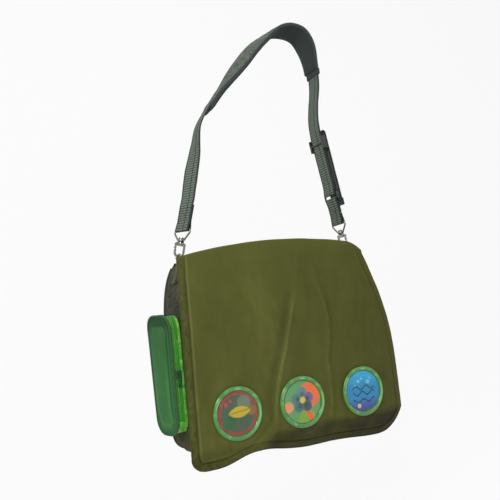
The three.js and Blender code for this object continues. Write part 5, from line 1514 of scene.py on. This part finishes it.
def make_strap_metal():
    half, shoulder, neck = WEB_HALF + 1 + EYE_WIRE, EYE_BAR - 6, 8
    foot = BOSS_LOW + BOSS_HIGH / 2
    corners = [(-half, EYE_BAR), (half, EYE_BAR), (half, shoulder)]
    corners += [(neck, foot), (-neck, foot), (-half, shoulder)]
    profile = [(BOSS_BORE, 0), (BOSS_RADIUS - 0.6, 0), (BOSS_RADIUS, 0.6), (BOSS_RADIUS, BOSS_HIGH - 0.6)]
    profile += [(BOSS_RADIUS - 0.6, BOSS_HIGH), (BOSS_BORE, BOSS_HIGH), (BOSS_BORE, 0)]
    for name, at in (("front", turned_leg), ("rear", rear_leg)):
        boss, out, up = spun(profile, 40), direction(at, 1, 0), direction(at, 0, 1)
        turn = Matrix((out, up.cross(out), up)).transposed().to_4x4()
        bmesh.ops.transform(boss, matrix=Matrix.Translation(at(0, BOSS_LOW)) @ turn, verts=boss.verts)
        eye = added(leg_ring(at, corners, 3.2, EYE_WIRE), boss)
        dress(f"{name}_eye", eye, "strap", "hardware_metal", (f"{name}_swivel_eye",))
    half, top, bottom = WEB_HALF + 1 + SQUARE_WIRE, SQUARE_RING + SQUARE_HALF, SQUARE_RING - SQUARE_HALF
    ring = leg_ring(rear_leg, [(-half, top), (half, top), (half, bottom), (-half, bottom)], 2.4, SQUARE_WIRE)
    dress("strap_ring", ring, "strap", "adjuster_plastic", ("square_ring",))
    for name in ("front", "rear"):
        for part, width in (("hook_body", 0.5), ("gate", 0.3), ("gate_pin", 0.15)):
            polish(f"{name}_{part}", "hardware_metal", width)
    polish("tri_glide", "adjuster_plastic", 0.8)
    polish("pad_keeper", "pad_binding", 0.5)


# Shoulder pad
PAD_COLUMNS, PAD_CENTRE = 22, Vector((0, STRAP_Y, 150))
pad_path = stretch(PAD_START, PAD_START + PAD_LENGTH)
pad_along = tangents(pad_path)
pad_last = len(pad_path) - 1
pad_step = PAD_LENGTH / pad_last


def pad_half(index):
    from_end = min(index, pad_last - index) * pad_step
    return mix(PAD_END, PAD_WIDTH, smooth(from_end, 0, PAD_TAPER)) / 2


def pad_across(index):
    return turned_width(PAD_START + index * pad_step, pad_along[index])


def pad_out(index):
    return pad_along[index].cross(pad_across(index)).normalized()


def on_pad(index, a, b):
    return pad_path[index] + pad_across(index) * a + pad_out(index) * b


def pad_creases(index, a):
    run = index * pad_step
    return ripple(run * 1.5, a * 0.55, 3, 9) + 0.8 * ripple(run, a * 0.4, 6, 22)


def pad_place(across, share, top=True):
    """A place on the pad's top or underside, both rounded off to the sides and thinner at the ends."""
    index = round(share * pad_last)
    half = pad_half(index)
    a = mix(-half, half, across)
    swell = max(1 - (2 * across - 1) ** 4, 0) ** 0.5
    puff = smooth(min(index, pad_last - index) * pad_step, -1, 12)
    if top:
        return on_pad(index, a, -1.5 + swell * (3.4 + pad_creases(index, a)) * mix(0.72, 1, puff))
    return on_pad(index, a, -4.5 - swell * (5.6 * mix(0.5, 1, puff) + 0.3 * pad_creases(index + 40, a)))


def make_pad():
    size = (PAD_WIDTH, PAD_LENGTH)
    shell = thickened(grid_piece(PAD_COLUMNS, pad_last, pad_place, uv=size), 1.6, centre=PAD_CENTRE)
    pad = dress("shoulder_pad", shell, "strap", "pad_fabric", ("pad_cover", "pad_foam"))
    base = grid_piece(PAD_COLUMNS, pad_last, lambda a, b: pad_place(a, b, False), uv=size)
    dress("pad_base", thickened(base, -1.6, centre=PAD_CENTRE), "strap", "pad_back", ("pad_underside",))
    for name, side in (("near", -1), ("far", 1)):
        points = [on_pad(i, side * (pad_half(i) - 0.6), -3) for i in range(pad_last + 1)]
        tape = sweep(points, pillow(1.9, 3.4, 1.6), pad_across)
        dress(f"pad_{name}_edge", tape, "strap", "pad_binding", (f"pad_{name}_binding",))
    for name, index in (("front", 0), ("rear", pad_last)):
        ends = [on_pad(index, a, -3.4) for a in between(-pad_half(index), pad_half(index), 12)]
        tape = sweep(ends, pillow(2.0, 3.0, 1.5), pad_along[index])
        dress(f"pad_{name}_end", tape, "strap", "pad_binding")
    inset, runs = 5.2, []
    for side in (-1, 1):
        run = []
        for i in range(3, pad_last - 3, 2):
            across = 0.5 + side * (0.5 - inset / (2 * pad_half(i)))
            run.append((pad_place(across, i / pad_last), pad_out(i)))
        runs.append(run)
    stitched("pad_stitches", runs, "strap", "grey_thread", pitch=4.2)


make_flap()
make_body()
make_patches()
make_badges()
make_pocket()
make_rings()
make_webbing()
make_strap_metal()
make_pad()
